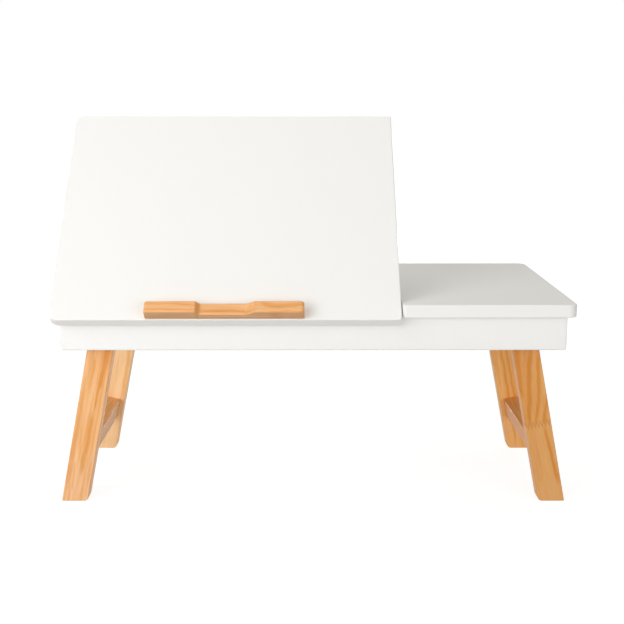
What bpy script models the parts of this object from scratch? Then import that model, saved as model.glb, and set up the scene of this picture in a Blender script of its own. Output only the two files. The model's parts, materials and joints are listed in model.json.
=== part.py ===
"""Laptop table: a white board top with a tilting lid, on two folding pairs of pine legs.

Metres, +Z up. X runs to the right, Y runs back, and the front faces -Y. The origin lies on the
floor, under the middle of the table's overall box. The table stands as it is used: lid raised on
its wire stand, legs unfolded against their stop rails.
"""

from math import asin, cos, pi, radians, sin, sqrt, tan

import bmesh
import bpy
from mathutils import Vector

# Clearances
part_gap = 0.0003
cut_overrun = 0.002
weld_distance = 0.000001

# Top: the lid on the left, the fixed panel on the right
top_width = 0.600
top_depth = 0.300
top_height = 0.252
board_thickness = 0.015
lid_width = 0.400
seam_gap = 0.0015
plan_corner_radius = 0.011
board_ease = 0.0015

# Frame under the top
apron_thickness = 0.012
front_overhang = 0.0145
side_overhang = 0.0085
divider_bridge = 0.0052
apron_ease = 0.0018
end_apron_ease = 0.0008
divider_thickness = 0.012
divider_setback = 0.0045
inner_rise = 0.002
leg_notch_clearance = 0.002
rail_height = 0.011
centre_rail_width = 0.024
rail_ease = 0.0006

# Lid hinges
lid_tilt = radians(47.6)
knuckle_proud = 0.0005
hinge_length = 0.050
hinge_leaf_margin = 0.002
hinge_leaf_thickness = 0.001
knuckle_radius = 0.0024
knuckle_count = 5
pin_radius = 0.00125
pin_clearance = 0.0001
hinge_end_distance = 0.040

# Book ledge on the lid
ledge_length = 0.180
ledge_depth = 0.015
ledge_height = 0.016
ledge_dip_height = 0.0103
ledge_dip_length = 0.050
ledge_ramp_length = 0.0095
ledge_setback = 0.0006
ledge_ease = 0.0018
ledge_dowel_radius = 0.003
ledge_dowel_length = 0.018
ledge_dowel_inset = 0.020

# Wire stand under the lid
wire_radius = 0.0025
stand_hinge_distance = 0.112
stand_lean = radians(60.7)
stand_foot_length = 0.011
stand_apron_clearance = 0.002
stand_rail_clearance = 0.0045
stand_bend_radius = 0.006
notch_depth = 0.0018
lid_notch_shares = (1.0, 0.84, 0.67, 0.5, 0.34)
clip_length = 0.014
clip_thickness = 0.0012
clip_flange = 0.008
clip_inset = 0.045

# Legs
leg_width = 0.031
leg_depth = 0.020
leg_splay = radians(11.5)
leg_setback = 0.0138
foot_corner_radius = 0.009
leg_fold_clearance = 0.0005
leg_ease = 0.001
stretcher_height = 0.0615
stretcher_width = 0.025
stretcher_thickness = 0.020
tenon_width = 0.015
tenon_thickness = 0.010
tenon_depth_share = 0.5

# Leg pivots
block_length = 0.054
block_above_pivot = 0.010
block_thickness = 0.0165
bolt_radius = 0.003
bolt_clearance = 0.0003
bolt_head_radius = 0.007
bolt_head_height = 0.003
bolt_head_ease = 0.0006
hex_radius = 0.0023
hex_depth = 0.002
washer_radius = 0.008
washer_thickness = 0.0012
insert_wall = 0.0012
insert_cover = 0.0035
insert_clearance = 0.0002

# Dowels in the frame's corners
dowel_radius = 0.003
dowel_cover = 0.004
dowel_end_depth = 0.014
dowel_ease = 0.0006
dowel_spacing = 0.020

# Roundness of curved pieces
arc_steps = 6
round_sides = 16
wide_round_sides = 24
ease_steps = 2
board_ease_steps = 3
sharp_angle = radians(40)
flat_angle = radians(0.5)

# Finishes: colour, roughness, metallic
white_lacquer = ("white_lacquer", (0.86, 0.855, 0.84), 0.35, 0.0)
light_pine = ("light_pine", (0.80, 0.50, 0.26), 0.5, 0.0)
amber_pine = ("amber_pine", (0.66, 0.38, 0.16), 0.5, 0.0)
beech = ("beech", (0.72, 0.52, 0.34), 0.6, 0.0)
zinc_steel = ("zinc_steel", (0.62, 0.63, 0.64), 0.35, 1.0)

# Places worked out from the sizes
underside_height = top_height - board_thickness
frame_top = underside_height - part_gap
leg_pivot_rise = leg_width / 2 + leg_fold_clearance
folded_leg_top = leg_pivot_rise + leg_width / 2
apron_height = inner_rise + folded_leg_top + leg_notch_clearance + divider_bridge
frame_bottom = frame_top - apron_height
inner_bottom = frame_bottom + inner_rise
leg_pivot_height = inner_bottom + leg_pivot_rise
hinge_inset = front_overhang - knuckle_proud
hinge_leaf_reach = knuckle_proud + apron_thickness - hinge_leaf_margin
hinge_height = underside_height - part_gap / 2
lid_under = part_gap / 2
lid_top = lid_under + board_thickness
ledge_top = lid_top + part_gap + ledge_height
ledge_front = hinge_inset - ledge_setback
raised_reach = (
    (ledge_front - ledge_ease) * cos(lid_tilt) + (ledge_top - ledge_ease) * sin(lid_tilt) + ledge_ease
)
front_edge = (raised_reach - hinge_inset - top_depth) / 2
back_edge = front_edge + top_depth
middle_y = (front_edge + back_edge) / 2
hinge_y = front_edge + hinge_inset
seam_x = -top_width / 2 + lid_width
panel_left = seam_x + seam_gap
apron_face_x = top_width / 2 - side_overhang
apron_inner_x = apron_face_x - apron_thickness
apron_inner_reach = top_depth / 2 - front_overhang - apron_thickness
divider_left = panel_left + divider_setback
block_inner_reach = apron_inner_reach - part_gap - block_thickness
leg_near_reach = block_inner_reach - part_gap
leg_middle_reach = leg_near_reach - leg_depth / 2
leg_inner_reach = leg_near_reach - leg_depth
foot_reach = apron_inner_x - leg_setback + inner_bottom * tan(leg_splay)
pivot_x = foot_reach - leg_width / 2 / cos(leg_splay) - leg_pivot_height * tan(leg_splay)
rail_top = inner_bottom + rail_height
wire_middle = lid_under - part_gap - wire_radius
stand_left = -apron_inner_x + stand_apron_clearance + stand_foot_length
stand_right = -centre_rail_width / 2 - stand_rail_clearance
foot_level = rail_top + part_gap + wire_radius - hinge_height


def start_collection(name):
    collection = bpy.data.collections.new(name)
    bpy.context.scene.collection.children.link(collection)
    return collection


def clear_scene():
    for old in list(bpy.data.objects):
        bpy.data.objects.remove(old, do_unlink=True)


clear_scene()
parts = start_collection("laptop_table")
cutters = start_collection("cutters")


def finish_material(finish):
    name, colour, roughness, metallic = finish
    if name in bpy.data.materials:
        return bpy.data.materials[name]
    material = bpy.data.materials.new(name)
    material.use_nodes = True
    shader = material.node_tree.nodes["Principled BSDF"]
    shader.inputs["Base Color"].default_value = (*colour, 1.0)
    shader.inputs["Roughness"].default_value = roughness
    shader.inputs["Metallic"].default_value = metallic
    material.diffuse_color = (*colour, 1.0)
    return material


def place(name, mesh, finish, location, rotation=(0, 0, 0), parent=None):
    """Put a mesh in the parts collection, or among the cutters when it has no finish."""
    item = bpy.data.objects.new(name, mesh)
    item.location = location
    item.rotation_euler = rotation
    item.parent = parent
    if finish is None:
        cutters.objects.link(item)
        item.hide_render = True
        item.display_type = "WIRE"
        return item
    parts.objects.link(item)
    mesh.materials.append(finish_material(finish))
    mesh.shade_smooth()
    mesh.set_sharp_from_angle(angle=sharp_angle)
    return item


def axis_empty(name, location, rotation=(0, 0, 0), parent=None):
    empty = bpy.data.objects.new(name, None)
    empty.location = location
    empty.rotation_euler = rotation
    empty.parent = parent
    parts.objects.link(empty)
    return empty


def box_mesh(name, size):
    solid = bmesh.new()
    bmesh.ops.create_cube(solid, size=1)
    bmesh.ops.scale(solid, vec=Vector(size), verts=solid.verts)
    mesh = bpy.data.meshes.new(name)
    solid.to_mesh(mesh)
    solid.free()
    return mesh


def box(name, low, high, finish=None, parent=None):
    """A board between two corners, its origin in its middle."""
    low, high = Vector(low), Vector(high)
    return place(name, box_mesh(name, high - low), finish, (low + high) / 2, parent=parent)


def rod(name, radius, length, location, rotation, finish=None, parent=None, sides=round_sides):
    """A plain cylinder along its own Z."""
    solid = bmesh.new()
    bmesh.ops.create_cone(
        solid, cap_ends=True, segments=sides, radius1=radius, radius2=radius, depth=length
    )
    mesh = bpy.data.meshes.new(name)
    solid.to_mesh(mesh)
    solid.free()
    return place(name, mesh, finish, location, rotation, parent)


along_x = (0, pi / 2, 0)
along_y = (pi / 2, 0, 0)


def curve_mesh(curve):
    """The closed mesh of a curve object, its caps welded to its sides."""
    holder = bpy.data.objects.new(curve.name, curve)
    parts.objects.link(holder)
    depsgraph = bpy.context.evaluated_depsgraph_get()
    mesh = bpy.data.meshes.new_from_object(holder.evaluated_get(depsgraph))
    name = curve.name
    bpy.data.objects.remove(holder)
    bpy.data.curves.remove(curve)
    solid = bmesh.new()
    solid.from_mesh(mesh)
    bmesh.ops.remove_doubles(solid, verts=solid.verts, dist=weld_distance)
    bmesh.ops.dissolve_limit(
        solid, angle_limit=flat_angle, verts=solid.verts, edges=solid.edges
    )
    bmesh.ops.recalc_face_normals(solid, faces=solid.faces)
    solid.to_mesh(mesh)
    solid.free()
    mesh.name = name
    return mesh


def flat_mesh(name, outlines, thickness):
    """A flat plate in its own XY plane. The first outline is its edge, any others are holes."""
    curve = bpy.data.curves.new(name, "CURVE")
    curve.dimensions = "2D"
    curve.fill_mode = "BOTH"
    curve.extrude = thickness / 2
    for outline in outlines:
        spline = curve.splines.new("POLY")
        spline.points.add(len(outline) - 1)
        for point, (x, y) in zip(spline.points, outline):
            point.co = (x, y, 0, 1)
        spline.use_cyclic_u = True
    return curve_mesh(curve)


def turned(name, profile, finish, location, rotation, parent=None, sides=wide_round_sides, ring=False):
    """A turned piece about its own Z, from a profile that runs down its outer side."""
    edges = [(step, step + 1) for step in range(len(profile) - 1)]
    if ring:
        edges.append((len(profile) - 1, 0))
    mesh = bpy.data.meshes.new(name)
    mesh.from_pydata([(radius, 0, height) for radius, height in profile], edges, [])
    item = place(name, mesh, finish, location, rotation, parent)
    screw = item.modifiers.new("turn", "SCREW")
    screw.steps = sides
    screw.render_steps = sides
    screw.use_merge_vertices = True
    screw.merge_threshold = weld_distance
    return item


def soften(item, width, steps=ease_steps):
    bevel = item.modifiers.new("ease", "BEVEL")
    bevel.width = width
    bevel.segments = steps
    bevel.limit_method = "ANGLE"
    bevel.angle_limit = sharp_angle


def cut(item, cutter, operation="DIFFERENCE"):
    boolean = item.modifiers.new(cutter.name, "BOOLEAN")
    boolean.object = cutter
    boolean.operation = operation
    boolean.solver = "EXACT"


def arc(centre, radius, start, end, steps=arc_steps):
    """Points along an arc, from the start angle to the end angle."""
    turns = [start + (end - start) * step / steps for step in range(steps + 1)]
    return [(centre[0] + radius * cos(turn), centre[1] + radius * sin(turn)) for turn in turns]


def rounded_corner(before, corner, after, radius, steps=arc_steps):
    """The arc that rounds one corner of an outline."""
    to_before = (Vector(before) - Vector(corner)).normalized()
    to_after = (Vector(after) - Vector(corner)).normalized()
    half_angle = to_before.angle(to_after) / 2
    centre = Vector(corner) + (to_before + to_after).normalized() * radius / sin(half_angle)
    first = Vector(corner) + to_before * radius / tan(half_angle) - centre
    last = Vector(corner) + to_after * radius / tan(half_angle) - centre
    turn = first.angle(last)
    points = []
    for step in range(steps + 1):
        share = step / steps
        spoke = (first * sin((1 - share) * turn) + last * sin(share * turn)) / sin(turn)
        points.append(centre + spoke)
    return points


def lid_point(distance, height, tilt):
    """Y and Z from the hinge axis of a point on the lid, at a given tilt."""
    return (
        distance * cos(tilt) - height * sin(tilt),
        distance * sin(tilt) + height * cos(tilt),
    )


def stand_length():
    """From the stand's hinge to its feet, so that they reach the rails at the raised tilt."""
    drop = lid_point(stand_hinge_distance, wire_middle, lid_tilt)[1] - foot_level
    return drop / sin(stand_lean)


def foot_distance(tilt):
    """How far behind the lid's hinge axis the stand's feet meet the rails at a tilt."""
    hinge_distance, hinge_rise = lid_point(stand_hinge_distance, wire_middle, tilt)
    return hinge_distance + sqrt(stand_length() ** 2 - (hinge_rise - foot_level) ** 2)


def leg_outer_x(height):
    """Distance from the table's middle to a leg's outer edge, at a height above the floor."""
    return foot_reach - height * tan(leg_splay)


def board_outline(left, right, rounded_side):
    """A board's plan, with both corners on one side rounded: -1 for its left, 1 for its right."""
    middle = (left + right) / 2
    half_width = (right - left) / 2
    half_depth = top_depth / 2
    radius = plan_corner_radius
    corner_x = rounded_side * (half_width - radius)
    corner_y = half_depth - radius
    square_x = -rounded_side * half_width
    outline = [(square_x, -half_depth)]
    for end in (-1, 1):
        quarter = arc((0, 0), radius, 0, pi / 2)
        if end < 0:
            quarter.reverse()
        outline += [(corner_x + rounded_side * x, end * (corner_y + y)) for x, y in quarter]
    outline.append((square_x, half_depth))
    return middle, outline


def hinge_places():
    """The middle of each lid hinge along X."""
    left = -top_width / 2 + hinge_end_distance + hinge_length / 2
    right = seam_x - hinge_end_distance - hinge_length / 2
    return {"left": left, "right": right}


def hinge_bed(name, x, side, parent):
    """Cutters for a leaf let in flush and for its knuckles: side 1 in the lid, -1 in the apron."""
    half = hinge_length / 2 + part_gap
    near, far = side * (-cut_overrun), side * (part_gap / 2 + hinge_leaf_thickness + part_gap)
    bed = box(
        name + "_bed",
        (x - half, 0, min(near, far)),
        (x + half, hinge_leaf_reach + part_gap, max(near, far)),
        parent=parent,
    )
    groove = rod(
        name + "_groove", knuckle_radius + part_gap, 2 * half, (x, 0, 0), along_x, parent=parent
    )
    return bed, groove


def hinge_leaf(name, x, side, parent):
    """One leaf of a butt hinge: side 1 lies in the lid and -1 in the apron."""
    inner, outer = part_gap / 2, part_gap / 2 + hinge_leaf_thickness
    start = asin(outer / knuckle_radius)
    end = 2 * pi + asin(inner / knuckle_radius)
    edge = arc((0, 0), knuckle_radius, start, end, round_sides)
    edge += [(hinge_leaf_reach, inner), (hinge_leaf_reach, outer)]
    bore = arc((0, 0), pin_radius + pin_clearance, 0, 2 * pi, round_sides)[:-1]
    outlines = [[(y, side * z) for y, z in points] for points in (edge, bore)]
    mesh = flat_mesh(name, outlines, hinge_length)
    leaf = place(name, mesh, zinc_steel, (x, 0, 0), (pi / 2, 0, pi / 2), parent)
    step = hinge_length / knuckle_count
    reach = knuckle_radius + part_gap
    for knuckle in range(knuckle_count):
        belongs_to_lid = knuckle % 2 == 1
        if belongs_to_lid == (side == 1):
            continue
        low = x - hinge_length / 2 + knuckle * step
        high = low + step
        low -= cut_overrun if knuckle == 0 else part_gap / 2
        high += cut_overrun if knuckle == knuckle_count - 1 else part_gap / 2
        room = box(
            f"{name}_room_{knuckle}", (low, -reach, -reach), (high, reach, reach), parent=parent
        )
        cut(leaf, room)
    return leaf


def make_fixed_panel():
    middle, outline = board_outline(panel_left, top_width / 2, 1)
    mesh = flat_mesh("fixed_panel", [outline], board_thickness)
    location = (middle, middle_y, underside_height + board_thickness / 2)
    panel = place("fixed_panel", mesh, white_lacquer, location)
    soften(panel, board_ease, board_ease_steps)


def dowel_profile(radius, length, ease):
    half = length / 2
    return [
        (0, half),
        (radius - ease, half),
        (radius, half - ease),
        (radius, ease - half),
        (radius - ease, -half),
        (0, -half),
    ]


def make_corner_dowels(aprons):
    """Dowels through each corner of the frame, and the holes that they fill."""
    dowel_apron_depth = apron_thickness - dowel_cover
    reach = dowel_apron_depth + part_gap + dowel_end_depth
    length = reach - 2 * part_gap
    middle_height = (frame_top + frame_bottom) / 2
    dowel_x = apron_face_x - apron_thickness / 2
    for end_name, end in (("front", -1), ("rear", 1)):
        dowel_y = middle_y + end * (apron_inner_reach + (dowel_apron_depth - dowel_end_depth) / 2)
        for side_name, side in (("left", -1), ("right", 1)):
            for level_name, level in (("lower", -1), ("upper", 1)):
                name = f"{end_name}_{side_name}_{level_name}_dowel"
                location = (side * dowel_x, dowel_y, middle_height + level * dowel_spacing / 2)
                hole = rod(name + "_hole", dowel_radius + part_gap, reach, location, along_y)
                cut(aprons[end_name], hole)
                cut(aprons[side_name], hole)
                profile = dowel_profile(dowel_radius, length, dowel_ease)
                turned(name, profile, beech, location, along_y, sides=round_sides)


def make_frame():
    """The aprons, the divider under the seam and the three rails between them."""
    aprons = {}
    outer_reach = apron_inner_reach + apron_thickness
    for name, end in (("front", -1), ("rear", 1)):
        faces = sorted((middle_y + end * apron_inner_reach, middle_y + end * outer_reach))
        aprons[name] = box(
            name + "_apron",
            (-apron_face_x, faces[0], frame_bottom),
            (apron_face_x, faces[1], frame_top),
            white_lacquer,
        )
        soften(aprons[name], apron_ease)
    inner_front = middle_y - apron_inner_reach + part_gap
    inner_back = middle_y + apron_inner_reach - part_gap
    for name, side in (("left", -1), ("right", 1)):
        faces = sorted((side * apron_inner_x, side * apron_face_x))
        aprons[name] = box(
            name + "_apron",
            (faces[0], inner_front, frame_bottom),
            (faces[1], inner_back, frame_top),
            white_lacquer,
        )
        soften(aprons[name], end_apron_ease)

    divider = box(
        "seam_divider",
        (divider_left, inner_front, inner_bottom),
        (divider_left + divider_thickness, inner_back, frame_top),
        white_lacquer,
    )
    soften(divider, end_apron_ease)
    for name, end in (("front", -1), ("rear", 1)):
        half = leg_depth / 2 + leg_notch_clearance
        notch_middle = middle_y + end * leg_middle_reach
        notch = box(
            f"divider_{name}_notch",
            (divider_left - cut_overrun, notch_middle - half, inner_bottom - cut_overrun),
            (
                divider_left + divider_thickness + cut_overrun,
                notch_middle + half,
                inner_bottom + folded_leg_top + leg_notch_clearance,
            ),
        )
        cut(divider, notch)

    centre_rail = box(
        "centre_rail",
        (-centre_rail_width / 2, inner_front, inner_bottom),
        (centre_rail_width / 2, inner_back, rail_top),
        light_pine,
    )
    soften(centre_rail, rail_ease)
    rails = {side: make_stop_rail(side_name, side) for side_name, side in (("left", -1), ("right", 1))}
    make_stand_notches(centre_rail, rails[-1])
    make_corner_dowels(aprons)
    return aprons


def make_stop_rail(side_name, side):
    """A rail along an end apron. Its slanted face is where the unfolded legs come to rest."""
    back = apron_inner_x - part_gap
    face_gap = part_gap / cos(leg_splay)
    outline = [
        (side * back, inner_bottom),
        (side * (leg_outer_x(inner_bottom) + face_gap), inner_bottom),
        (side * (leg_outer_x(rail_top) + face_gap), rail_top),
        (side * back, rail_top),
    ]
    mesh = flat_mesh(side_name + "_stop_rail", [outline], 2 * leg_near_reach)
    rail = place(side_name + "_stop_rail", mesh, light_pine, (0, middle_y, 0), along_y)
    soften(rail, rail_ease)
    return rail


def make_stand_notches(centre_rail, left_rail):
    """Round notches across the tops of two rails, one pair for each height of the lid."""
    radius = wire_radius + part_gap
    notch_height = rail_top + radius - notch_depth
    for number, share in enumerate(lid_notch_shares):
        notch_y = hinge_y + foot_distance(lid_tilt * share)
        left_end = -apron_inner_x
        spans = {
            "left": (left_rail, left_end, stand_left + wire_radius + cut_overrun),
            "centre": (centre_rail, -centre_rail_width / 2 - cut_overrun,
                       stand_right + stand_foot_length + cut_overrun),
        }
        for rail_name, (rail, low, high) in spans.items():
            middle = ((low + high) / 2, notch_y, notch_height)
            cutter = rod(f"{rail_name}_notch_{number}", radius, high - low, middle, along_x)
            cut(rail, cutter)


def make_hinges(aprons, lid_axis, lid_panel):
    frame_axis = axis_empty("frame_hinge_axis", (0, hinge_y, hinge_height))
    for name, x in hinge_places().items():
        for cutter in hinge_bed(f"apron_{name}_hinge", x, -1, frame_axis):
            cut(aprons["front"], cutter)
        for cutter in hinge_bed(f"lid_{name}_hinge", x, 1, lid_axis):
            cut(lid_panel, cutter)
        hinge_leaf(f"{name}_hinge_frame_leaf", x, -1, frame_axis)
        hinge_leaf(f"{name}_hinge_lid_leaf", x, 1, lid_axis)
        rod(
            f"{name}_hinge_pin", pin_radius, hinge_length, (x, 0, 0), along_x, zinc_steel, frame_axis
        )


def make_lid(aprons):
    """The lid and all that turns with it, drawn flat about the hinge axis and then tilted up."""
    lid_axis = axis_empty("lid_axis", (0, hinge_y, hinge_height), (lid_tilt, 0, 0))
    middle, outline = board_outline(-top_width / 2, seam_x, -1)
    mesh = flat_mesh("lid_panel", [outline], board_thickness)
    location = (middle, top_depth / 2 - hinge_inset, lid_under + board_thickness / 2)
    lid_panel = place("lid_panel", mesh, white_lacquer, location, parent=lid_axis)
    soften(lid_panel, board_ease, board_ease_steps)
    make_hinges(aprons, lid_axis, lid_panel)
    make_ledge(lid_axis, lid_panel, middle)
    make_stand(lid_axis)


def make_ledge(lid_axis, lid_panel, middle):
    half_length = ledge_length / 2
    half_dip = ledge_dip_length / 2
    outline = [
        (-half_length, 0),
        (half_length, 0),
        (half_length, ledge_height),
        (half_dip + ledge_ramp_length, ledge_height),
        (half_dip, ledge_dip_height),
        (-half_dip, ledge_dip_height),
        (-half_dip - ledge_ramp_length, ledge_height),
        (-half_length, ledge_height),
    ]
    mesh = flat_mesh("book_ledge", [outline], ledge_depth)
    ledge_y = ledge_setback + ledge_depth / 2 - hinge_inset
    location = (middle, ledge_y, lid_top + part_gap)
    ledge = place("book_ledge", mesh, light_pine, location, along_y, lid_axis)
    soften(ledge, ledge_ease)
    profile = dowel_profile(ledge_dowel_radius, ledge_dowel_length, dowel_ease)
    hole_length = ledge_dowel_length + 2 * part_gap
    for name, side in (("left", -1), ("right", 1)):
        place_x = middle + side * (half_length - ledge_dowel_inset)
        dowel_middle = (place_x, ledge_y, lid_top + part_gap / 2)
        hole = rod(
            f"ledge_{name}_hole",
            ledge_dowel_radius + part_gap,
            hole_length,
            dowel_middle,
            (0, 0, 0),
            parent=lid_axis,
        )
        cut(lid_panel, hole)
        cut(ledge, hole)
        turned(
            f"ledge_{name}_dowel",
            profile,
            beech,
            dowel_middle,
            (0, 0, 0),
            lid_axis,
            round_sides,
        )


def make_stand(lid_axis):
    """A bent wire that swings under the lid, and the two clips that hold it there."""
    stand_axis = axis_empty(
        "stand_axis",
        (0, stand_hinge_distance, wire_middle),
        (-lid_tilt - stand_lean, 0, 0),
        lid_axis,
    )
    length = stand_length()
    corners = [
        (stand_left - stand_foot_length, length, 0),
        (stand_left, length, 0),
        (stand_left, 0, 0),
        (stand_right, 0, 0),
        (stand_right, length, 0),
        (stand_right + stand_foot_length, length, 0),
    ]
    route = [Vector(corners[0])]
    for before, corner, after in zip(corners, corners[1:], corners[2:]):
        route += rounded_corner(before, corner, after, stand_bend_radius)
    route.append(Vector(corners[-1]))
    curve = bpy.data.curves.new("wire_stand", "CURVE")
    curve.dimensions = "3D"
    curve.bevel_depth = wire_radius
    curve.bevel_resolution = 2
    curve.use_fill_caps = True
    spline = curve.splines.new("POLY")
    spline.points.add(len(route) - 1)
    for point, place_along in zip(spline.points, route):
        point.co = (*place_along, 1)
    place("wire_stand", curve_mesh(curve), zinc_steel, (0, 0, 0), parent=stand_axis)
    clip_places = {"left": stand_left + clip_inset, "right": stand_right - clip_inset}
    for name, x in clip_places.items():
        make_stand_clip(f"stand_{name}_clip", x, lid_axis)


def make_stand_clip(name, x, lid_axis):
    """A saddle clip: a strip bent round the wire, with a flat flange on each side."""
    inner = wire_radius + part_gap
    outer = inner + clip_thickness
    seat = lid_under - part_gap - wire_middle
    flange_under = seat - clip_thickness
    half = outer + clip_flange
    lower_arc = arc((0, 0), outer, 0, -pi)
    upper_arc = arc((0, 0), inner, -pi, 0)
    outline = [(half, seat), (half, flange_under), (outer, flange_under)]
    outline += lower_arc
    outline += [(-outer, flange_under), (-half, flange_under), (-half, seat), (-inner, seat)]
    outline += upper_arc
    outline.append((inner, seat))
    mesh = flat_mesh(name, [outline], clip_length)
    location = (x, stand_hinge_distance, wire_middle)
    place(name, mesh, zinc_steel, location, (pi / 2, 0, pi / 2), lid_axis)


def leg_outline(side):
    """A leg in its own X and Z about its pivot, its length down -Z and its foot cut level."""
    half = leg_width / 2

    def floor_at(across):
        """Where the floor cuts the leg, at a distance towards its outer side."""
        return (-across * sin(leg_splay) - leg_pivot_height) / cos(leg_splay)

    crown = arc((0, 0), half, 0, pi, 2 * arc_steps)
    outer_foot = (half, floor_at(half))
    inner_foot = (-half, floor_at(-half))
    foot_arc = rounded_corner((-half, 0), inner_foot, outer_foot, foot_corner_radius)
    outline = crown + [tuple(point) for point in foot_arc] + [outer_foot]
    return [(side * across, along) for across, along in outline]


def make_leg_pair(side_name, side, wood):
    """Two legs and their stretcher on one folding axis: side -1 is the left pair, 1 the right."""
    axis = axis_empty(
        side_name + "_legs_axis", (side * pivot_x, middle_y, leg_pivot_height), (0, -side * leg_splay, 0)
    )
    stretcher_drop = (leg_pivot_height - stretcher_height) / cos(leg_splay)
    stretcher_half = leg_inner_reach - part_gap
    stretcher = box(
        side_name + "_stretcher",
        (-stretcher_thickness / 2, -stretcher_half, -stretcher_drop - stretcher_width / 2),
        (stretcher_thickness / 2, stretcher_half, -stretcher_drop + stretcher_width / 2),
        wood,
        axis,
    )
    soften(stretcher, leg_ease)
    tenon_half = leg_inner_reach + leg_depth * tenon_depth_share
    tenon = box(
        side_name + "_tenon",
        (-tenon_thickness / 2, -tenon_half, -stretcher_drop - tenon_width / 2),
        (tenon_thickness / 2, tenon_half, -stretcher_drop + tenon_width / 2),
        parent=axis,
    )
    cut(stretcher, tenon, "UNION")
    mortise_half = tenon_half + part_gap
    mortise = box(
        side_name + "_mortise",
        (
            -tenon_thickness / 2 - part_gap,
            -mortise_half,
            -stretcher_drop - tenon_width / 2 - part_gap,
        ),
        (
            tenon_thickness / 2 + part_gap,
            mortise_half,
            -stretcher_drop + tenon_width / 2 + part_gap,
        ),
        parent=axis,
    )
    bore = rod(
        side_name + "_pivot_bore",
        bolt_radius + bolt_clearance,
        top_depth,
        (0, 0, 0),
        along_y,
        parent=axis,
        sides=wide_round_sides,
    )
    for end_name, end in (("front", -1), ("rear", 1)):
        name = f"{side_name}_{end_name}_leg"
        mesh = flat_mesh(name, [leg_outline(side)], leg_depth)
        leg = place(name, mesh, wood, (0, end * leg_middle_reach, 0), along_y, axis)
        soften(leg, leg_ease)
        cut(leg, bore)
        cut(leg, mortise)
        make_leg_pivot(name, side, end)


def ring_profile(inner, outer, length):
    half = length / 2
    return [(inner, half), (outer, half), (outer, -half), (inner, -half)]


def make_leg_pivot(leg_name, side, end):
    """The block on the apron that carries one leg, with its bolt, washer and threaded insert."""
    block_outer_reach = apron_inner_reach - part_gap
    block_faces = sorted((middle_y + end * block_outer_reach, middle_y + end * block_inner_reach))
    block_back = side * (apron_inner_x - part_gap)
    block_front = block_back - side * block_length
    block = box(
        leg_name + "_block",
        (min(block_back, block_front), block_faces[0], inner_bottom),
        (max(block_back, block_front), block_faces[1], leg_pivot_height + block_above_pivot),
        light_pine,
    )
    soften(block, rail_ease)

    inward = (end * pi / 2, 0, 0)

    def on_axis(reach):
        return (side * pivot_x, middle_y + end * reach, leg_pivot_height)

    insert_length = block_thickness - insert_cover
    insert_middle = block_inner_reach + insert_length / 2
    insert_bore = bolt_radius + bolt_clearance
    insert_radius = insert_bore + insert_wall
    hole = rod(
        leg_name + "_insert_hole",
        insert_radius + insert_clearance,
        insert_length + 2 * cut_overrun,
        on_axis(insert_middle),
        along_y,
        sides=wide_round_sides,
    )
    cut(block, hole)
    profile = ring_profile(insert_bore, insert_radius, insert_length)
    turned(leg_name + "_insert", profile, zinc_steel, on_axis(insert_middle), along_y, ring=True)

    washer_middle = leg_inner_reach - part_gap - washer_thickness / 2
    profile = ring_profile(insert_bore, washer_radius, washer_thickness)
    turned(leg_name + "_washer", profile, zinc_steel, on_axis(washer_middle), along_y, ring=True)

    head_seat = washer_middle - washer_thickness / 2 - part_gap
    shank = block_inner_reach + insert_length - head_seat
    profile = [
        (0, bolt_head_height),
        (bolt_head_radius - bolt_head_ease, bolt_head_height),
        (bolt_head_radius, bolt_head_height - bolt_head_ease),
        (bolt_head_radius, 0),
        (bolt_radius, 0),
        (bolt_radius, bolt_head_ease - shank),
        (bolt_radius - bolt_head_ease, -shank),
        (0, -shank),
    ]
    bolt = turned(leg_name + "_bolt", profile, zinc_steel, on_axis(head_seat), inward)
    hex_length = hex_depth + cut_overrun
    hex_middle = head_seat - bolt_head_height + hex_depth - hex_length / 2
    socket = rod(leg_name + "_hex", hex_radius, hex_length, on_axis(hex_middle), along_y, sides=6)
    cut(bolt, socket)


make_fixed_panel()
frame_aprons = make_frame()
make_lid(frame_aprons)
make_leg_pair("left", -1, light_pine)
make_leg_pair("right", 1, amber_pine)
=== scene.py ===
"""Looks for the laptop table: white boards, pine legs and ledge, steel fittings, and the stage.

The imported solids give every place. Each piece here stands for one of them, or is fixed to one,
and rides on the same body, so that the lid, its stand and both pairs of legs fold with it.
"""

import json
from collections import namedtuple
from math import asin, cos, pi, radians, sin, sqrt, tan

import bmesh
import bpy
from bpy.props import FloatProperty, FloatVectorProperty, IntProperty, PointerProperty
from mathutils import Matrix, Vector


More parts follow.
